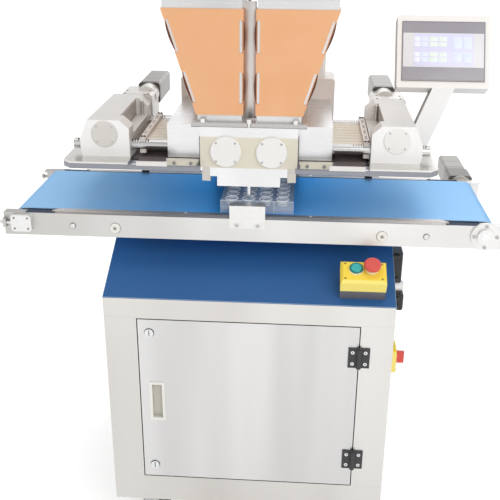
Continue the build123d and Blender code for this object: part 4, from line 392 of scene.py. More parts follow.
# Right wall: the main switch with its yellow plate and red knob, a moulded vent grille,
# and two black connector hoods with a white cable gland between them.
def moulded(name, dark, pale, roughness, slot="", **sockets):
    """Injection-moulded plastic: faint flow marks over 30 mm, a fine spark-eroded grain of 0.7 mm as bump."""
    plastic = mottled(name, dark, pale, 30.0, slot=slot, Roughness=roughness, **sockets)
    return grained(plastic, 1500.0, 0.08, 0.0002)


yellow_abs = moulded("yellow_abs", "#FFE562", "#FFEC7A", 0.5, Specular_IOR_Level=0.0)
# Painted light and shade: faces turned up are a deeper yellow, faces turned to the front a paler one.
lay_over(yellow_abs, "#FBDD56", facing_Z=(0.6, 1.1))
lay_over(yellow_abs, "#FFEB85", facing_Y=(-1.1, -0.7))
red_abs = moulded("red_abs", "#D6473E", "#E05A50", 0.32)
black_nylon = moulded("black_nylon", "#1D1D1F", "#2A2A2D", 0.45, "black_plastic")
white_nylon = moulded("white_nylon", "#EDECE8", "#F5F4F1", 0.4, "screen_white")
dress(yellow_abs, "isolator_plate")
dress(red_abs, "isolator_knob")
dress(black_nylon, "vent_grille", "connector_hoods")
wall_x, isolator_y, isolator_z = 0.358, -0.2988, 0.543
square = [(a, b) for a in (-1, 1) for b in (-1, 1)]
plate_corners = [(wall_x + 0.012, isolator_y + a * 0.023, isolator_z + b * 0.023) for a, b in square]
turned("isolator_screws", screw(0.0035, 0.0012, 0.0013, 0.001), plate_corners, to_right, black_nylon)
gland = [(0, 0.034), (0.006, 0.034), (0.006, 0.038), (0.011, 0.038), (0.0135, 0.033), (0.0135, 0.018)]
gland += [(0.0165, 0.017), (0.0165, 0.005), (0.018, 0.004), (0.018, -0.0005), (0, -0.0005)]
turned("cable_gland", gland, [(wall_x, -0.1438, 0.6645)], to_right, white_nylon, around=24)
hood_levers = [
    [(wall_x + 0.004, y - 0.003, z), (wall_x + proud * 0.7, y + 0.003, z + 0.01)]
    for low, high, proud in ((0.681, 0.766, 0.03), (0.603, 0.648, 0.04))
    for y in (-0.1688, -0.1188)
    for z in (low + 0.006, high - 0.016)
]
rounded_boxes("hood_levers", hood_levers, 0.002, black_nylon)


# Button box: a two-part moulded case on the slope, dark grey base and yellow lid, with a
# green push button in a dark ring, a red mushroom button, and clear collars under both.
box_corner = slope_foot + np.array([0.5665, 0.022, 0.0]) @ slope_axes
dress(moulded("dark_grey_abs", "#605F64", "#6E6D72", 0.5), "button_box_base")
dress(yellow_abs, "button_box_lid")
dress(moulded("green_abs", "#2CA8A4", "#3AB9B6", 0.3), "start_button")
dress(red_abs, "stop_button")


def on_lid(x, up):
    """A point on the lid (right, up the slope) in the machine's frame, 63 mm off the slope."""
    return tuple(box_corner + np.array([x, up, 0.063]) @ slope_axes)


off_slope = slope_axes[2]
lid_corners = [on_lid(x, up) for x in (0.0105, 0.0965) for up in (0.0105, 0.0555)]
turned("lid_screws", screw(0.0026, 0.0003, 0.0012, 0.0007), lid_corners, off_slope, black_nylon)
green_place, red_place = [on_lid(0.036, 0.038)], [on_lid(0.0725, 0.038)]
teal_ring = moulded("dark_teal_abs", "#14706C", "#1B7F7A", 0.3, "green_plastic")
green_ring = [(0.0132, 0.0038), (0.0132, 0.0068), (0.0146, 0.0076), (0.0162, 0.006), (0.0164, 0.0038)]
turned("green_ring", green_ring, green_place, off_slope, teal_ring, around=32, ring=True)
clear_collar = moulded("clear_white_acrylic", "#E9E3B8", "#F2EDCB", 0.2, "clear_plastic")
green_collar = [(0.0132, -0.0005), (0.0132, 0.004), (0.0162, 0.004), (0.0174, 0.0022), (0.0178, -0.0005)]
turned("green_collar", green_collar, green_place, off_slope, clear_collar, around=32, ring=True)
red_collar = [(0.0085, -0.0005), (0.0085, 0.0066), (0.0125, 0.0066), (0.0142, 0.0035), (0.0148, -0.0005)]
turned("red_collar", red_collar, red_place, off_slope, clear_collar, around=32, ring=True)


# Casters: zinc-plated pressed forks under swivel plates, grey hubs with black rubber tyres,
# and a pressed brake pedal over each front wheel. Four bolts hold each plate.
zinc_plate, tree, shader, place = finish("zinc_plated_pressing", Metallic=1.0)
bloom = add(tree, "ShaderNodeTexVoronoi", {"Vector": place, "Scale": 140.0}).outputs["Distance"]
colour_by(zinc_plate, bloom, "#A5A9AA", "#C9CBC9")
dull = {"Value": bloom, "To Min": 0.28, "To Max": 0.48}
tree.links.new(add(tree, "ShaderNodeMapRange", dull).outputs[0], shader.inputs["Roughness"])
corners = ("front_left", "front_right", "rear_left", "rear_right")
dress(zinc_plate, "caster_plates", "caster_brake_front_left", "caster_brake_front_right")
dress(zinc_plate, *[f"caster_fork_{corner}" for corner in corners])
hub_radius, trail, bolt_pitch, plate_under = 0.0294, 0.03, 0.026, 0.098
caster_bolts = []
for corner in corners:
    axle = np.mean(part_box(f"caster_wheel_{corner}"), axis=0)
    rubber = mottled(f"rubber_tyre_{corner}", "#1B1B1C", "#2C2B2A", 80.0, 3.0, Roughness=0.6)
    tree = rubber.node_tree
    place = add(tree, "ShaderNodeTexCoord").outputs["Object"]
    flat = {"Vector": place, "Location": (-axle[0], 0, -axle[2]), "Scale": (1, 0, 1)}
    from_axle = add(tree, "ShaderNodeMapping", flat).outputs["Vector"]
    reach = add(tree, "ShaderNodeVectorMath", {0: from_axle}, operation="LENGTH").outputs["Value"]
    hub = add(tree, "ShaderNodeMath", {0: reach, 1: hub_radius}, operation="LESS_THAN").outputs[0]
    lay_over(rubber, "#7C7F82", where=hub)
    dress(rubber, f"caster_wheel_{corner}")
    x, y, _ = axle - (trail, 0, 0)
    caster_bolts += [(x + a * bolt_pitch, y + b * bolt_pitch, plate_under) for a, b in square]
caster_bolt = screw(0.0055, 0.0045, 0.002, 0.002)
turned("caster_bolts", caster_bolt, caster_bolts, downward, bright_screw, around=6)


# Conveyor rails: folded stainless channels with a dark guide strip on top. Bolts with washers
# and round nylon caps sit along their faces, bearings and tension blocks at their ends, and
# dark navy strips of painted shade lie in the gaps beside the belt there.
rail_steel = brushed_steel(
    "brushed_stainless_rail", "#D2D1CF", "#E3E2E1", 0.42, (9.0, 500.0, 800.0), (3.0, 1.0, 1.0)
)
dress(rail_steel, "conveyor_supports")
guide_top = 0.884
guided_rail = rail_steel.copy()
guided_rail.name = "brushed_rail_with_dark_guide"
tree = guided_rail.node_tree
place = add(tree, "ShaderNodeTexCoord").outputs["Object"]
along = add(tree, "ShaderNodeSeparateXYZ", {0: place}).outputs["X"]
# Painted shade: the rail darkens from the middle towards its left end.
left_shade = {"Value": along, "From Min": 0.1, "From Max": -0.6, "To Max": 0.8}
lay_over(guided_rail, "#B4B2AF", where=add(tree, "ShaderNodeMapRange", left_shade).outputs[0])
# The guide strip goes from dark in the middle to pale towards its ends.
out = add(tree, "ShaderNodeMath", {0: along}, operation="ABSOLUTE").outputs[0]
towards_ends = add(tree, "ShaderNodeMapRange", {"Value": out, "From Min": 0.2, "From Max": 0.44}).outputs[0]
lay_over(guided_rail, (towards_ends, "#7D8189", "#CDC8C5"), Z=(guide_top - 0.0048, guide_top + 0.001))
dress(guided_rail, "conveyor_rails")
dress(chrome, "idler_roller", "drive_roller")
bearing_steel = rail_steel.copy()
bearing_steel.name = "brushed_bearing_darker_at_rear"
# The end bearings are darker at the rear.
lay_over(bearing_steel, "#AFA9A3", Y=(0.08, 0.2))
dress(bearing_steel, "end_bearings")
cream_nylon = moulded("cream_nylon", "#F0ECE4", "#F6F3ED", 0.45, "cream_plastic")
dark_zinc_and_shadow = mottled("dull_zinc_and_painted_shadow", "#8F8D8B", "#B7B5B3", 700.0, slot="zinc", Metallic=0.6, Roughness=0.5)
pale_screw = mottled("pale_zinc_screw", "#BCBAB7", "#D6D4D1", 700.0, slot="zinc", Metallic=0.5, Roughness=0.5)
# Painted shade: dark navy strips lie where the gaps beside the belt, past the guide strips, show dark.
gap_shade = moulded("navy_gap_shade", "#1E2B45", "#27364F", 0.6, "belt_blue")
rail_bolt = screw(0.0062, 0.0042, 0.0026, 0.0026)
washer = [(0.0058, -0.0004), (0.0058, 0.0007), (0.0078, 0.0007), (0.0082, 0.0003), (0.0082, -0.0004)]
cap = [(0, 0.003), (0.005, 0.003), (0.0056, 0.0052), (0.0105, 0.0052), (0.0122, 0.0036)]
cap += [(0.0122, -0.0005), (0, -0.0005)]
cap_screw = screw(0.0046, 0.0046, 0.0024, 0.0016)
# Painted shadow: a thin dark ring round the foot of each nylon cap.
cap_shadow_ring = [(0.012, -0.0003), (0.012, 0.0006), (0.0134, 0.0005), (0.0136, -0.0003)]
guide_screw = screw(0.0036, 0.0008, 0.0013, 0.001)
bearing_screw = screw(0.0042, 0.003, 0.002, 0.002)
block_screw = screw(0.0026, 0.0012, 0.0012, 0.0012)
roller_z, bearing_x, bearing_reach, block_x = 0.855, 0.56, 0.0264, -0.548
bolt_z, cap_z, shade_low, shade_high = 0.849, 0.846, 0.8786, 0.8796
shade_spans = ((-0.54, -0.468), (0.468, 0.548))
cross = [(a * bearing_reach, b * bearing_reach) for a, b in ((1, 0), (0, 1), (-1, 0), (0, -1))]
for end, face, way, guide_y in (("front", -0.2622, -1, -0.2452), ("rear", 0.0898, 1, 0.0728)):
    outward = (0, way, 0)
    bolts = [(x, face, bolt_z) for x in (-0.424, 0.424)]
    turned(f"rail_bolts_{end}", rail_bolt, bolts, outward, bright_screw)
    turned(f"bolt_washers_{end}", washer, bolts, outward, dark_zinc_and_shadow, around=28, ring=True)
    caps = [(x, face, cap_z) for x in (-0.32, 0.32)]
    turned(f"nylon_caps_{end}", cap, caps, outward, cream_nylon, around=28)
    turned(f"cap_screws_{end}", cap_screw, caps, outward, bright_screw)
    turned(f"cap_shadow_rings_{end}", cap_shadow_ring, caps, outward, dark_zinc_and_shadow, around=28, ring=True)
    strip = [(x, guide_y, guide_top) for x in (-0.45, -0.15, 0.15, 0.45)]
    turned(f"guide_screws_{end}", guide_screw, strip, upward, bright_screw)
    spots = [(bearing_x + a, face + way * 0.006, roller_z + b) for a, b in cross]
    turned(f"bearing_screws_{end}", bearing_screw, spots, outward, pale_screw)
    spots = [(block_x + a * 0.0165, face + way * 0.012, roller_z + b * 0.0135) for a, b in square]
    turned(f"block_screws_{end}", block_screw, spots, outward, dark_zinc_and_shadow)
    near, far = sorted((face - way * 0.003, face - way * 0.0256))
    gaps = [[(x0, near, shade_low), (x1, far, shade_high)] for x0, x1 in shade_spans]
    rounded_boxes(f"gap_shades_{end}", gaps, 0.0004, gap_shade, steps=2)


# Belt: two-ply polyurethane, blue, with a fine matt cloth print of about 1 mm and a film that
# tints what it mirrors. Its blue is darker in the middle and paler towards the ends, as painted shade and
# reflection, with random patches.
belt_film = dict(Metallic=0.5, Roughness=0.4, Specular_IOR_Level=0.0, Specular_Tint=linear("#8FC0EE"))
belt_pu, tree, shader, place = finish("blue_polyurethane_belt", **belt_film)
# Painted shade and reflection: the blue darkens towards the middle, under the head, with random patches.
along = add(tree, "ShaderNodeSeparateXYZ", {0: place}).outputs["X"]
far = add(tree, "ShaderNodeMath", {0: along}, operation="ABSOLUTE").outputs[0]
patch = add(tree, "ShaderNodeTexNoise", {"Vector": place, "Scale": 6.0, "Detail": 3.0}).outputs["Fac"]
shade_and_patches = add(tree, "ShaderNodeMath", {0: patch, 1: 0.16, 2: far}, operation="MULTIPLY_ADD").outputs[0]
shade_share = add(tree, "ShaderNodeMapRange", {"Value": shade_and_patches, "From Min": 0.07, "From Max": 0.52}).outputs[0]
colour_by(belt_pu, shade_share, "#1C9AEC", "#AAD1F3")
cloth = add(tree, "ShaderNodeTexVoronoi", {"Vector": place, "Scale": 900.0}).outputs["Distance"]
print_bump = add(tree, "ShaderNodeBump", {"Height": cloth, "Strength": 0.06, "Distance": 0.0003}).outputs[0]
tree.links.new(print_bump, shader.inputs["Normal"])
dress(belt_pu, "conveyor_belt")


# Mould sensors: a bent stainless bracket on the front rail carries one light sensor, and two
# small stops with switches sit on the rear guide. Steel and black plastic share the CAD node.
sensor_mix = mottled("bracket_steel_and_sensor_plastic", "#D6D5D3", "#E4E3E1", 300.0, Roughness=0.38)
plastic = lay_over(sensor_mix, "#232326", Y=(-0.262, 1.0), Z=(0.0, 0.9099))
tree = sensor_mix.node_tree
metal = add(tree, "ShaderNodeMath", {0: 1.0, 1: plastic}, operation="SUBTRACT").outputs[0]
tree.links.new(metal, tree.nodes["Principled BSDF"].inputs["Metallic"])
dress(sensor_mix, "mould_sensors")
bracket_face, bracket_screw_x = -0.2652, (-0.025, 0.025)
slots = [
    [(x - 0.0105, bracket_face - 0.0002, 0.8585), (x + 0.0145, bracket_face + 0.0006, 0.8695)]
    for x in bracket_screw_x
]
rounded_boxes("bracket_slots", slots, 0.0003, white_nylon, steps=2)
bracket_spots = [(x, bracket_face, 0.864) for x in bracket_screw_x]
turned("bracket_screws", screw(0.0048, 0.0022, 0.0014, 0.0014), bracket_spots, to_front, pale_screw)


# Mould: clear polycarbonate, injection moulded, with a skirt and rows of drop-shaped cups.
# Clear plastic lets the belt show through, with a slight haze in use; bright rings on the cups and bright
# lines on the skirt are painted highlights.
clear_pc = mottled("clear_polycarbonate", "#DCE6F0", "#F2F6FA", 60.0, IOR=1.585, Alpha=0.27, Coat_Weight=0.6)
smeared(clear_pc, 60.0, 0.03, 0.14)
dress(clear_pc, "mould")
# Painted highlights: bright rings on the cups' rims and feet, and bright lines on the skirt's ribs and top
# edge.
pc_edge_highlight = moulded("polycarbonate_edge_highlight", "#E6EFF8", "#FFFFFF", 0.12, "clear_plastic")
deck, skirt = 0.9141, -0.2302
cups = [(x, -0.2117 + 0.034 * row, deck) for x in (-0.041, 0.0, 0.041, 0.082) for row in range(8)]
rim = [(0.0144, -0.001), (0.0142, 0.0003), (0.0149, 0.0008), (0.016, 0.0006), (0.0164, -0.0004)]
turned("cup_rim_highlights", rim, cups, upward, pc_edge_highlight, "mould", 24, ring=True)
foot = [(0.0086, -0.0142), (0.009, -0.0132), (0.01, -0.0128), (0.0108, -0.0136), (0.0106, -0.0142)]
turned("cup_foot_highlights", foot, cups, upward, pc_edge_highlight, "mould", 24, ring=True)
ribs = [
    [(x - 0.0004, skirt - 0.0003, 0.8835), (x + 0.0004, skirt + 0.0006, deck)]
    for x in (-0.0668, -0.0205, 0.0205, 0.0615, 0.1078)
]
ribs.append([(-0.067, skirt - 0.0003, deck - 0.0005), (0.108, skirt + 0.0007, deck + 0.0004)])
rounded_boxes("mould_rib_highlights", ribs, 0.0003, pc_edge_highlight, "mould", steps=2)


# Base plate: thick stainless plate, ground and polished, on two square columns. A drip
# tray with a folded apron and a bright lip lies under each piston bank, dark brown as painted
# shade under the bank, and tie bars run along the plate's front edge.
plate_lines, plate_bands = (7.0, 600.0, 600.0), (2.0, 2.0, 1.0)
plate_steel = brushed_steel(
    "polished_stainless_plate", "#CFCBC7", "#DDDAD6", 0.26, plate_lines, plate_bands, "polished_plate"
)
# Painted reflection: the plate's sides and the tie bars along its front, between these heights, are a dark
# blue-grey.
lay_over(plate_steel, "#8A8C93", Z=(0.9935, 1.006))
dress(plate_steel, "base_plate")
dress(cabinet_steel, "support_columns")
# Painted shade: the trays and aprons are dark brown where the shade under the piston banks falls.
tray_shade = powder_coat("dark_brown_painted_shade", "#4E4647", "#665E5D", 0.5, "black_metal")


def on_both_sides(middle, half, low, high):
    """Two boxes at the same X left and right, with half their width and their low and high (Y, Z)."""
    return [[(x - half, *low), (x + half, *high)] for x in (-middle, middle)]


trays = on_both_sides(0.241, 0.039, (-0.2068, 1.0025), (0.0802, 1.0065))
rounded_boxes("drip_trays", trays, 0.0015, tray_shade)


def drawn_along(name, profile, spans, material):
    """Sheet or bar drawn along X: a closed (Y, Z) profile from one X to the other, ends closed flat."""
    outline = np.array(profile, dtype=float)
    middle = np.repeat(outline.mean(axis=0)[None], len(outline), axis=0)
    rows = np.stack([middle, outline, outline, middle])
    runs = []
    for low, high in spans:
        x = np.broadcast_to(np.array([low, low, high, high])[:, None, None], (*rows.shape[:2], 1))
        runs.append(np.concatenate([x, rows], axis=2))
    shell_of(name, runs, material)


apron = [(-0.2055, 1.0085), (-0.207, 1.0108), (-0.212, 1.0108), (-0.256, 1.0095), (-0.256, 1.008)]
drawn_along("tray_aprons", apron, [(-0.262, -0.199), (0.199, 0.272)], tray_shade)
tray_lip = [(-0.2565, 1.0035), (-0.2565, 1.0145), (-0.259, 1.014), (-0.259, 1.0035)]
drawn_along("tray_lips", tray_lip, [(-0.262, -0.189), (0.189, 0.272)], cabinet_steel)
tie_bars = on_both_sides(0.196, 0.0858, (-0.2588, 0.993), (-0.2548, 1.0055))
tie_bars += on_both_sides(0.12, 0.002, (-0.255, 0.9932), (-0.221, 1.0053))
rounded_boxes("plate_tie_bars", tie_bars, 0.0006, plate_steel)
plate_bolts = [(x, y, 1.01) for x in (-0.424, 0.424) for y in (-0.2238, -0.02, 0.1962)]
turned("plate_bolts", screw(0.005, 0.0008, 0.0022, 0.002), plate_bolts, upward, bright_screw)


# Depositing head: cylinder blocks and valve body milled from stainless bar, cream acetal
# plates on the front, and round covers over the valve bores, four screws each.
head_lines, head_bands = (9.0, 400.0, 900.0), (3.0, 3.0, 3.0)
head_steel = brushed_steel("milled_stainless_head", "#D3D3D4", "#E3E3E4", 0.3, head_lines, head_bands)
dress(head_steel, "cylinder_blocks", "valve_body")
bar_steel = head_steel.copy()
bar_steel.name = "milled_bar_with_shaded_brackets"
# Painted shade: the bar's end brackets, set back behind the manifold, are a darker grey-tan.
for low, high in ((-0.2, -0.0919), (0.0919, 0.2)):
    lay_over(bar_steel, "#BEB9B3", X=(low, high))
dress(bar_steel, "nozzle_bar")
dress(moulded("cream_acetal", "#DCD5C3", "#E5DFCF", 0.42), "cream_plates")
# Painted shade: dark strips in the gaps beside the cream plate and at the foot of the cylinder blocks.
shadow_gaps = on_both_sides(0.1158, 0.0008, (-0.2262, 0.996), (-0.2072, 1.0685))
shadow_gaps += on_both_sides(0.1565, 0.0385, (-0.2068, 1.0099), (-0.2056, 1.0114))
rounded_boxes("head_shadow_gaps", shadow_gaps, 0.0004, slot_shade, steps=2)
cover_white = powder_coat("white_coated_cover", "#EDEBE8", "#F5F4F1", 0.38)
# Painted shade: the left drive's cover is a darker grey than the right one.
lay_over(cover_white, "#DBD7D2", X=(-0.5, -0.1))
dress(cover_white, "round_covers")
valve_front, valve_z, valve_pitch = -0.2348, 1.034, 0.0223
valve_spots = [
    (x + a * valve_pitch, valve_front, valve_z + b * valve_pitch) for x in (-0.054, 0.054) for a, b in square
]
valve_screw = screw(0.0028, 0.0012, 0.0012, 0.0012)
turned("valve_cover_screws", valve_screw, valve_spots, to_front, pale_screw)
strip_spots = [(x, -0.2218, 1.0015) for x in (-0.138, -0.178, 0.138, 0.178)]
turned("strip_bolts", screw(0.0042, 0.003, 0.002, 0.002), strip_spots, to_front, dark_zinc_and_shadow)
dress(chrome, "left_valve_spool", "right_valve_spool")


# Piston drives: bead-blasted aluminium castings with machined end faces, each with a round
# cover, a pinion shaft behind a frosted guard, and two ground rods with rack teeth, their flanks
# painted dark as shade, that carry the yoke and eight pistons. The valve drive box stands behind the head.
casting, tree, _, place = finish("bead_blasted_aluminium", Metallic=0.25, Roughness=0.48)
blotch = add(tree, "ShaderNodeTexNoise", {"Vector": place, "Scale": 12.0, "Detail": 2.0}).outputs["Fac"]
colour_by(casting, blotch, "#D0CFCD", "#DBDAD8")
# Front-facing faces are paler: machined end faces, and painted light as well.
lay_over(casting, (blotch, "#EFEEEC", "#F7F6F5"), facing_Y=(-1.1, -0.6))
grained(casting, 900.0, 0.1, 0.0003, 2.0)
dress(casting, "drive_housings")
box_coat = powder_coat("warm_grey_coat", "#DCD6D1", "#E6E1DC", 0.4)
for low, high in ((1.1462, 1.148), (1.239, 1.2406)):
    lay_over(box_coat, "#6F6B68", Z=(low, high))
dress(box_coat, "valve_drive_box")
box_spots = [(x, 0.2012, z) for x in (-0.192, -0.064, 0.064, 0.192) for z in (1.024, 1.132)]
turned("valve_box_screws", screw(0.0036, 0.002, 0.0016, 0.0016), box_spots, to_rear, bright_screw)


def drawn_metal(name, dark, pale, smooth, rough, stretch, metallic):
    """Ground or drawn metal: its lines set both tone and roughness. Gives the metal and the lines."""
    material, tree, shader, place = finish(name, Metallic=metallic)
    lines = drawn_lines(tree, place, stretch)
    colour_by(material, lines, dark, pale)
    sheen = {"Value": lines, "To Min": smooth, "To Max": rough}
    tree.links.new(add(tree, "ShaderNodeMapRange", sheen).outputs[0], shader.inputs["Roughness"])
    return material, lines


rod_lines = (1500.0, 30.0, 30.0)
ground_rod, _ = drawn_metal("ground_steel_rod", "#B4B3B2", "#D8D7D6", 0.14, 0.32, rod_lines, 1.0)
# Painted shade: the tooth flanks, facing along X, are dark.
for low, high in ((-1.1, -0.5), (0.5, 1.1)):
    lay_over(ground_rod, "#3C3836", X=(-0.42, 0.42), facing_X=(low, high))
dress(ground_rod, "left_rack_rods", "right_rack_rods")
shaft_lines = (300.0, 30.0, 300.0)
shaft_steel = brushed_steel("satin_steel_shaft", "#C9C8C6", "#DAD9D7", 0.42, shaft_lines, slot="bright_steel")
dress(shaft_steel, "left_pinion_shaft", "right_pinion_shaft")
frosted = dict(slot="clear_plastic", Roughness=0.5, Alpha=0.72)
guard_sheet = mottled("frosted_guard_sheet", "#C2BFBB", "#CFCCC8", 120.0, **frosted)
guards = on_both_sides(0.3178, 0.0006, (-0.1588, 1.0562), (0.0332, 1.0918))
rounded_boxes("pinion_guards", guards, 0.0003, guard_sheet, steps=2)
post = [(0, 1.0945), (0.0036, 1.0945), (0.0044, 1.0935), (0.0044, 1.0555), (0, 1.0555)]
turned("window_posts", post, [(-0.299, 0.022, 0), (0.312, 0.022, 0)], upward, bright_screw, around=24)
piston_cream = mottled("cream_piston_sleeves_and_steel_yoke", "#DAD1C2", "#E6DFD3", 40.0, 3.0, Roughness=0.36)
for low, high in ((-0.5, -0.2508), (0.2698, 0.5)):
    lay_over(piston_cream, "#D8D0C9", X=(low, high))
dress(piston_cream, "left_pistons", "right_pistons")
cover_pitch = valve_pitch * 0.82
drive_spots = [
    (x + a * cover_pitch, -0.2118, 1.0645 + b * cover_pitch) for x in (-0.345, 0.345) for a, b in square
]
turned("drive_cover_screws", screw(0.0022, 0.0008, 0.001, 0.0008), drive_spots, to_front, pale_screw)
yoke_screw = screw(0.0027, 0.0024, 0.0013, 0.0016)
clamp_screw = screw(0.0028, 0.0028, 0.0013, 0.0016)
first_piston, piston_pitch, yoke_top = -0.1538, 0.026, 1.053
between_pistons = [first_piston + piston_pitch * (k + d) for k in (0, 2, 4, 6) for d in (0.2, 0.8)]
for name, yoke_x in (("left", -0.258), ("right", 0.277)):
    bank = f"{name}_piston_bank"
    spots = [(yoke_x, y, yoke_top) for y in between_pistons]
    turned(f"yoke_screws_{name}", yoke_screw, spots, upward, pale_screw, bank, 16)
    spots = [(yoke_x + d, y, yoke_top) for y in (-0.1818, 0.0562) for d in (-0.0035, 0.0035)]
    turned(f"clamp_screws_{name}", clamp_screw, spots, upward, slot_shade, bank, 16)


# Servo units: pale cast gear blocks and satin anodised motors, drawn along the motor's length.
# The motor's flange face, the groove behind it and two lines further back are dark as painted shade; thin
# seams part block and drive.
motor_lines = (700.0, 12.0, 700.0)
anodised, lines = drawn_metal("satin_anodised_aluminium", "#8E8B88", "#A9A6A3", 0.3, 0.42, motor_lines, 0.5)
lay_over(anodised, (lines, "#D9D6D2", "#E3E1DD"), Y=(0.083, 0.1831))
# Painted shade: dark bands in the grooves behind the flange, and a dark flange face.
for low, high in ((0.1918, 0.1966), (0.248, 0.2502), (0.305, 0.3068)):
    lay_over(anodised, "#4B4846", Y=(low, high))
lay_over(anodised, "#55514F", facing_Y=(-1.1, -0.7), Y=(0.1831, 0.184))
lay_over(anodised, "#767370", X=(0.5, 0.62), Y=(0.09, 0.1835))
dress(anodised, "servo_units")
seam_y, block_top = 0.0832, 1.098
block_sides = ((-0.371, -0.283), (0.305, 0.393))
seams = [
    [(x0 + 0.007, seam_y - 0.0005, block_top - 0.0006), (x1 - 0.007, seam_y + 0.0005, block_top + 0.0002)]
    for x0, x1 in block_sides
]
rounded_boxes("block_seams", seams, 0.0003, slot_shade, steps=2)
block_spots = [
    (x, seam_y + back, block_top)
    for x0, x1 in block_sides
    for x in (x0 + 0.013, x1 - 0.013)
    for back in (0.008, 0.04)
]
gear_screw = screw(0.0026, 0.0006, 0.0012, 0.001)
turned("gear_block_screws", gear_screw, block_spots, upward, slot_shade, around=16)


# Hoppers: welded stainless bins with a rolled rim, wrapped in orange silicone heater covers
# that bow out beside the slots at their corners. A steel strip closes the gap between them,
# and hand bolts clamp their flanges to the head.
hopper_steel = brushed_steel(
    "polished_stainless_hopper", "#CFCFD0", "#E8E8E8", 0.22, (9.0, 9.0, 700.0), metallic=0.45
)
# Painted shade: the flange band is a darker grey.
lay_over(hopper_steel, "#BBB8B6", Z=(1.09, 1.1022))
dress(hopper_steel, "hoppers")
bridge = [[(-0.0138, -0.1862, 1.1045), (0.0138, -0.1848, 1.37)]]
rounded_boxes("hopper_bridge", bridge, 0.0006, cabinet_steel, steps=3)
# Painted shade: dark strips at the gap between the hoppers' necks and flanges.
flange_shadow_gaps = on_both_sides(0.0695, 0.0655, (-0.2263, 1.0914), (-0.225, 1.0926))
rounded_boxes("flange_shadow_gaps", flange_shadow_gaps, 0.0004, slot_shade, steps=2)
dress(bright_screw, "clamp_bolts")
silicone = ("#E9AA79", "#F1B98C", 9.0, 3.0)
orange_cover = mottled("orange_silicone_cover", *silicone, Roughness=0.5)
grained(orange_cover, 700.0, 0.07, 0.0004)
dress(orange_cover, "heater_jackets")
lip_orange = mottled("orange_silicone_lip", *silicone, slot="orange_cover", Roughness=0.5)
# Painted shade: the lips' faces turned to the front and back are dark brown, where the slots lie in shade.
for low, high in ((-1.1, -0.75), (0.75, 1.1)):
    lay_over(lip_orange, "#5E3024", facing_Y=(low, high))
cover_foot, cover_height, cover_spread = 1.118, 0.238, 0.197 - 0.121
inner_wall, outer_wall, cover_front, cover_rear = 0.0142, 0.1243, -0.2066, 0.042


def slot_lips(name, bulge, depth, slot_feet, slot_height):
    """Bowed edges of the cover beside its slots: a lens along the slot that dies out along the side.

    Along the slot the bow is a half sine; away from the slot's edge it falls off as a quarter cosine.
    The cover's inner walls are upright, and its outer ones lean out by its spread over its height.
    """
    rows = 19
    along = np.linspace(0, 1, rows)
    away = np.linspace(0, 1, 6)
    bow = bulge * np.sin(np.pi * along)[:, None] * np.cos(np.pi / 2 * away)[None]
    sunk = np.full((rows, 1), -0.0006)
    proud = np.concatenate([sunk, bow, sunk], axis=1)
    reach = np.concatenate([[0.0], away, [1.0]]) * depth
    lips = []
    for side in (-1, 1):
        for foot in slot_feet:
            z = foot + slot_height * along
            outer = outer_wall + cover_spread * (z - cover_foot) / cover_height
            for wall, out in ((outer, 1), (np.full_like(z, inner_wall), -1)):
                for edge, back in ((cover_front, 1), (cover_rear, -1)):
                    loop = np.empty((*proud.shape, 3))
                    loop[..., 0] = side * (wall[:, None] + out * proud)
                    loop[..., 1] = edge + back * reach[None]
                    loop[..., 2] = z[:, None]
                    loop[[0, -1]] = loop[[0, -1]].mean(axis=1, keepdims=True)
                    lips.append(loop)
    shell_of(name, lips, lip_orange)


slot_lips("slot_lips", 0.0045, 0.016, (1.145, 1.26), 0.072)


# Touch screen: a warm white sheet-metal housing on a leaning arm. The bezel is a printed
# glass with grey bands; the lit display shows plain pale tiles on lilac.
screen_coat = powder_coat("warm_white_coat", "#EFEBE6", "#F5F2EE", 0.4)
arm_coat = powder_coat("white_arm_coat", "#F8F7F5", "#FCFBFA", 0.45)
# Painted shade: faces turned left are darker on both, and so is the arm's underside; the housing's underside
# keeps nearly its own tone.
for coat, side_shade, under_tone in ((screen_coat, "#989693", "#F4F1ED"), (arm_coat, "#9A9896", "#9A9896")):
    lay_over(coat, side_shade, facing_X=(-1.1, -0.5))
    lay_over(coat, under_tone, facing_Z=(-1.1, -0.5))
dress(screen_coat, "screen_housing")
dress(arm_coat, "screen_arm")
bezel_glass = mottled("printed_bezel_glass", "#99959B", "#A19EA4", 25.0, 1.0, Roughness=0.16, Coat_Weight=0.4)
dress(bezel_glass, "screen_panel")
tilt = math.radians(28)
lean, stand = math.sin(tilt), math.cos(tilt)
screen_axes = np.array([[1, 0, 0], [0, lean, stand], [0, -stand, lean]])
screen_origin = (0.464, -0.0438, 1.156)


def lit(name, dark, pale, glow):
    """A lit screen colour: the same tone on the surface and, weakly, as its own light."""
    lamp = dict(slot="screen_glass", Roughness=0.2, Emission_Strength=glow)
    material = mottled(name, dark, pale, 200.0, 1.0, **lamp)
    shader = material.node_tree.nodes["Principled BSDF"]
    tone = shader.inputs["Base Color"].links[0].from_socket
    material.node_tree.links.new(tone, shader.inputs["Emission Color"])
    return material


def on_screen(name, boxes, corner, material, steps=4):
    """Flat pieces on the screen, as boxes of (right, up, out) from the screen's lower middle."""
    rounded_boxes(name, boxes, corner, material, "frame", screen_axes, screen_origin, steps)


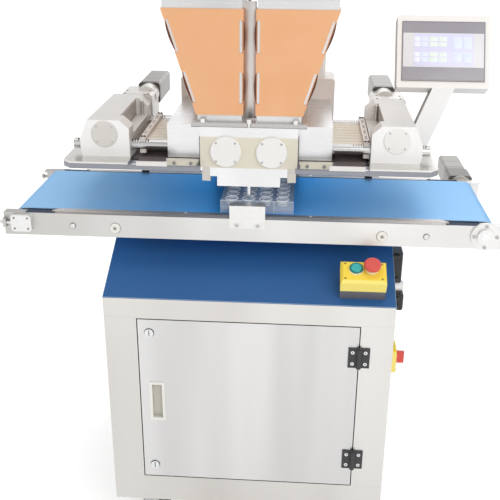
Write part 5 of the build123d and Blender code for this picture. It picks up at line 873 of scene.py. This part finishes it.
gasket_grey = moulded("grey_gasket_rubber", "#76727A", "#827E86", 0.5, "screen_glass")
gasket = [[(x, 0.0167, 0.0), (x + 0.0015, 0.1673, 0.0024)] for x in (-0.1013, 0.0998)]
gasket += [[(-0.1013, up, 0.0), (0.1013, up + 0.0015, 0.0024)] for up in (0.0167, 0.1658)]
on_screen("screen_gasket", gasket, 0.0005, gasket_grey, 3)
back_corners = [(x, up, -0.042) for x in (-0.1, 0.1) for up in (0.012, 0.172)]
back_spots = np.array(back_corners) @ screen_axes + screen_origin
back_screw = screw(0.0036, 0.0018, 0.0014, 0.0014)
turned("screen_back_screws", back_screw, back_spots, -screen_axes[2], bright_screw)
strip_grey = lit("pale_side_strip", "#D9D7DA", "#DFDDDF", 0.1)
on_screen("bezel_strips", [[(-0.0985, 0.052, 0.0015), (0.0985, 0.138, 0.0023)]], 0.0006, strip_grey)
lilac = lit("lilac_display", "#D6D4EE", "#DDDBF2", 0.06)
on_screen("display", [[(-0.073, 0.054, 0.0018), (0.073, 0.1365, 0.0027)]], 0.0005, lilac)
tile_back, tile_face, tile_height = 0.002, 0.0031, 0.0115
tile_tones = {"white": ("#E8EAF6", "#EEF0FA"), "green": ("#E3ECE6", "#E8F0EA")}
tile_tones["blue"] = ("#DCE3F6", "#E2E9F9")
tile_boxes = {colour: [] for colour in tile_tones}
small_tiles = [("white", -0.0715, -0.0575), ("blue", -0.0555, -0.0375)]
small_tiles += [("green", -0.0345, -0.014), ("green", -0.0115, 0.0085)]
for low in (0.0645, 0.078, 0.1035, 0.117):
    for colour, left, right in small_tiles:
        tile_boxes[colour].append([(left, low, tile_back), (right, low + tile_height, tile_face)])
for left in (0.0225, 0.0475):
    for low, high in ((0.0645, 0.0895), (0.0985, 0.1285)):
        tile_boxes["blue"].append([(left, low, tile_back), (left + 0.022, high, tile_face)])
for colour, (dark, pale) in tile_tones.items():
    on_screen(f"{colour}_tiles", tile_boxes[colour], 0.0006, lit(f"{colour}_tile", dark, pale, 0.05), 3)


# Floor, light and camera: a pale floor that runs out into a white background, soft studio
# lamps, and a camera set where the photograph was taken.
floor_paint, tree, shader, place = finish("pale_floor_paint")
grain = add(tree, "ShaderNodeTexNoise", {"Vector": place, "Scale": 3.0, "Detail": 2.0}).outputs["Fac"]
pale = colour_by(floor_paint, grain, "#EDEDEC", "#F1F1F0")
tree.nodes.remove(shader)
matt_floor = add(tree, "ShaderNodeBsdfDiffuse", {"Color": pale}).outputs[0]
ray = add(tree, "ShaderNodeLightPath").outputs
seen = ray["Is Camera Ray"]
for kind in ("Is Glossy Ray", "Is Transmission Ray"):
    seen = add(tree, "ShaderNodeMath", {0: seen, 1: ray[kind]}, operation="ADD").outputs[0]
reach = add(tree, "ShaderNodeVectorMath", {0: place}, operation="LENGTH").outputs["Value"]
lift = {"Value": reach, "From Min": 1.5, "From Max": 4.5, "To Min": 0.36, "To Max": 0.58}
far_lift = add(tree, "ShaderNodeMapRange", lift).outputs[0]
glow = add(tree, "ShaderNodeMath", {0: seen, 1: far_lift}, operation="MULTIPLY").outputs[0]
white = add(tree, "ShaderNodeEmission", {"Color": (1, 1, 1, 1), "Strength": glow}).outputs[0]
both = add(tree, "ShaderNodeAddShader", {0: matt_floor, 1: white}).outputs[0]
tree.links.new(both, tree.nodes["Material Output"].inputs["Surface"])
rings, spokes, floor_radius = 24, 64, 40.0
radius = np.linspace(0, floor_radius, rings)[:, None]
angle = np.linspace(0, 2 * np.pi, spokes, endpoint=False)[None]
disc = np.stack([radius * np.cos(angle), radius * np.sin(angle), np.zeros((rings, spokes))], axis=-1)
floor = closed_mesh("floor", disc[None], floor_paint)

world = bpy.data.worlds.new("studio")
bpy.context.scene.world = world
world.use_nodes = True
tree = world.node_tree
ray = add(tree, "ShaderNodeLightPath").outputs
direction = add(tree, "ShaderNodeTexCoord").outputs["Generated"]
height = add(tree, "ShaderNodeSeparateXYZ", {0: direction}).outputs["Z"]
sky = add(tree, "ShaderNodeMapRange", {"Value": height, "To Min": 1.0, "To Max": 0.55}).outputs[0]
mirrored = {0: ray["Is Glossy Ray"], 1: ray["Is Transmission Ray"]}
mirrored = add(tree, "ShaderNodeMath", mirrored, operation="MAXIMUM").outputs[0]
level = add(tree, "ShaderNodeMix", {0: mirrored, 2: 0.66, 3: sky}).outputs[0]
level = add(tree, "ShaderNodeMix", {0: ray["Is Camera Ray"], 2: level, 3: 1.0}).outputs[0]
tree.links.new(level, tree.nodes["Background"].inputs["Strength"])
tree.nodes["Background"].inputs["Color"].default_value = (1, 1, 1, 1)

for name, place, target, power in (
    ("key", (2.0, -3.3, 2.9), (0.0, 0.0, 0.8), 56.0),
    ("fill", (-2.6, -3.0, 2.2), (0.0, 0.0, 0.7), 10.0),
    ("top", (0.0, 0.3, 3.8), (0.0, 0.0, 0.9), 28.0),
    ("back", (0.6, 3.4, 2.6), (0.0, 0.0, 0.8), 20.0),
):
    lamp = bpy.data.lights.new(name, "AREA")
    lamp.size = 3.0
    lamp.energy = power
    tripod = bpy.data.objects.new(name, lamp)
    aim = np.subtract(target, place)
    tripod.location = place
    turn = math.atan2(aim[1], aim[0]) - math.pi / 2
    tripod.rotation_euler = (math.acos(-aim[2] / np.linalg.norm(aim)), 0, turn)
    bpy.context.collection.objects.link(tripod)

focal_px, photo_px, sensor_mm = 809.1, 500, 36.0
lens = bpy.data.cameras.new("camera")
lens.sensor_width = sensor_mm
lens.lens = focal_px / photo_px * sensor_mm
lens.clip_end = 100.0
camera = bpy.data.objects.new("camera", lens)
yaw, pitch, roll = (math.radians(a) for a in (-3.86, 23.01, -0.38))
forward = np.array([math.sin(yaw) * math.cos(pitch), math.cos(yaw) * math.cos(pitch), -math.sin(pitch)])
level_right = np.array([math.cos(yaw), -math.sin(yaw), 0.0])
level_down = np.cross(forward, level_right)
pose = np.eye(4)
pose[:3, 0] = math.cos(roll) * level_right + math.sin(roll) * level_down
pose[:3, 1] = math.sin(roll) * level_right - math.cos(roll) * level_down
pose[:3, 2] = -forward
pose[:3, 3] = (0.1281, -2.0575, 1.5642)
camera.matrix_world = pose.T.tolist()
bpy.context.collection.objects.link(camera)
bpy.context.scene.camera = camera
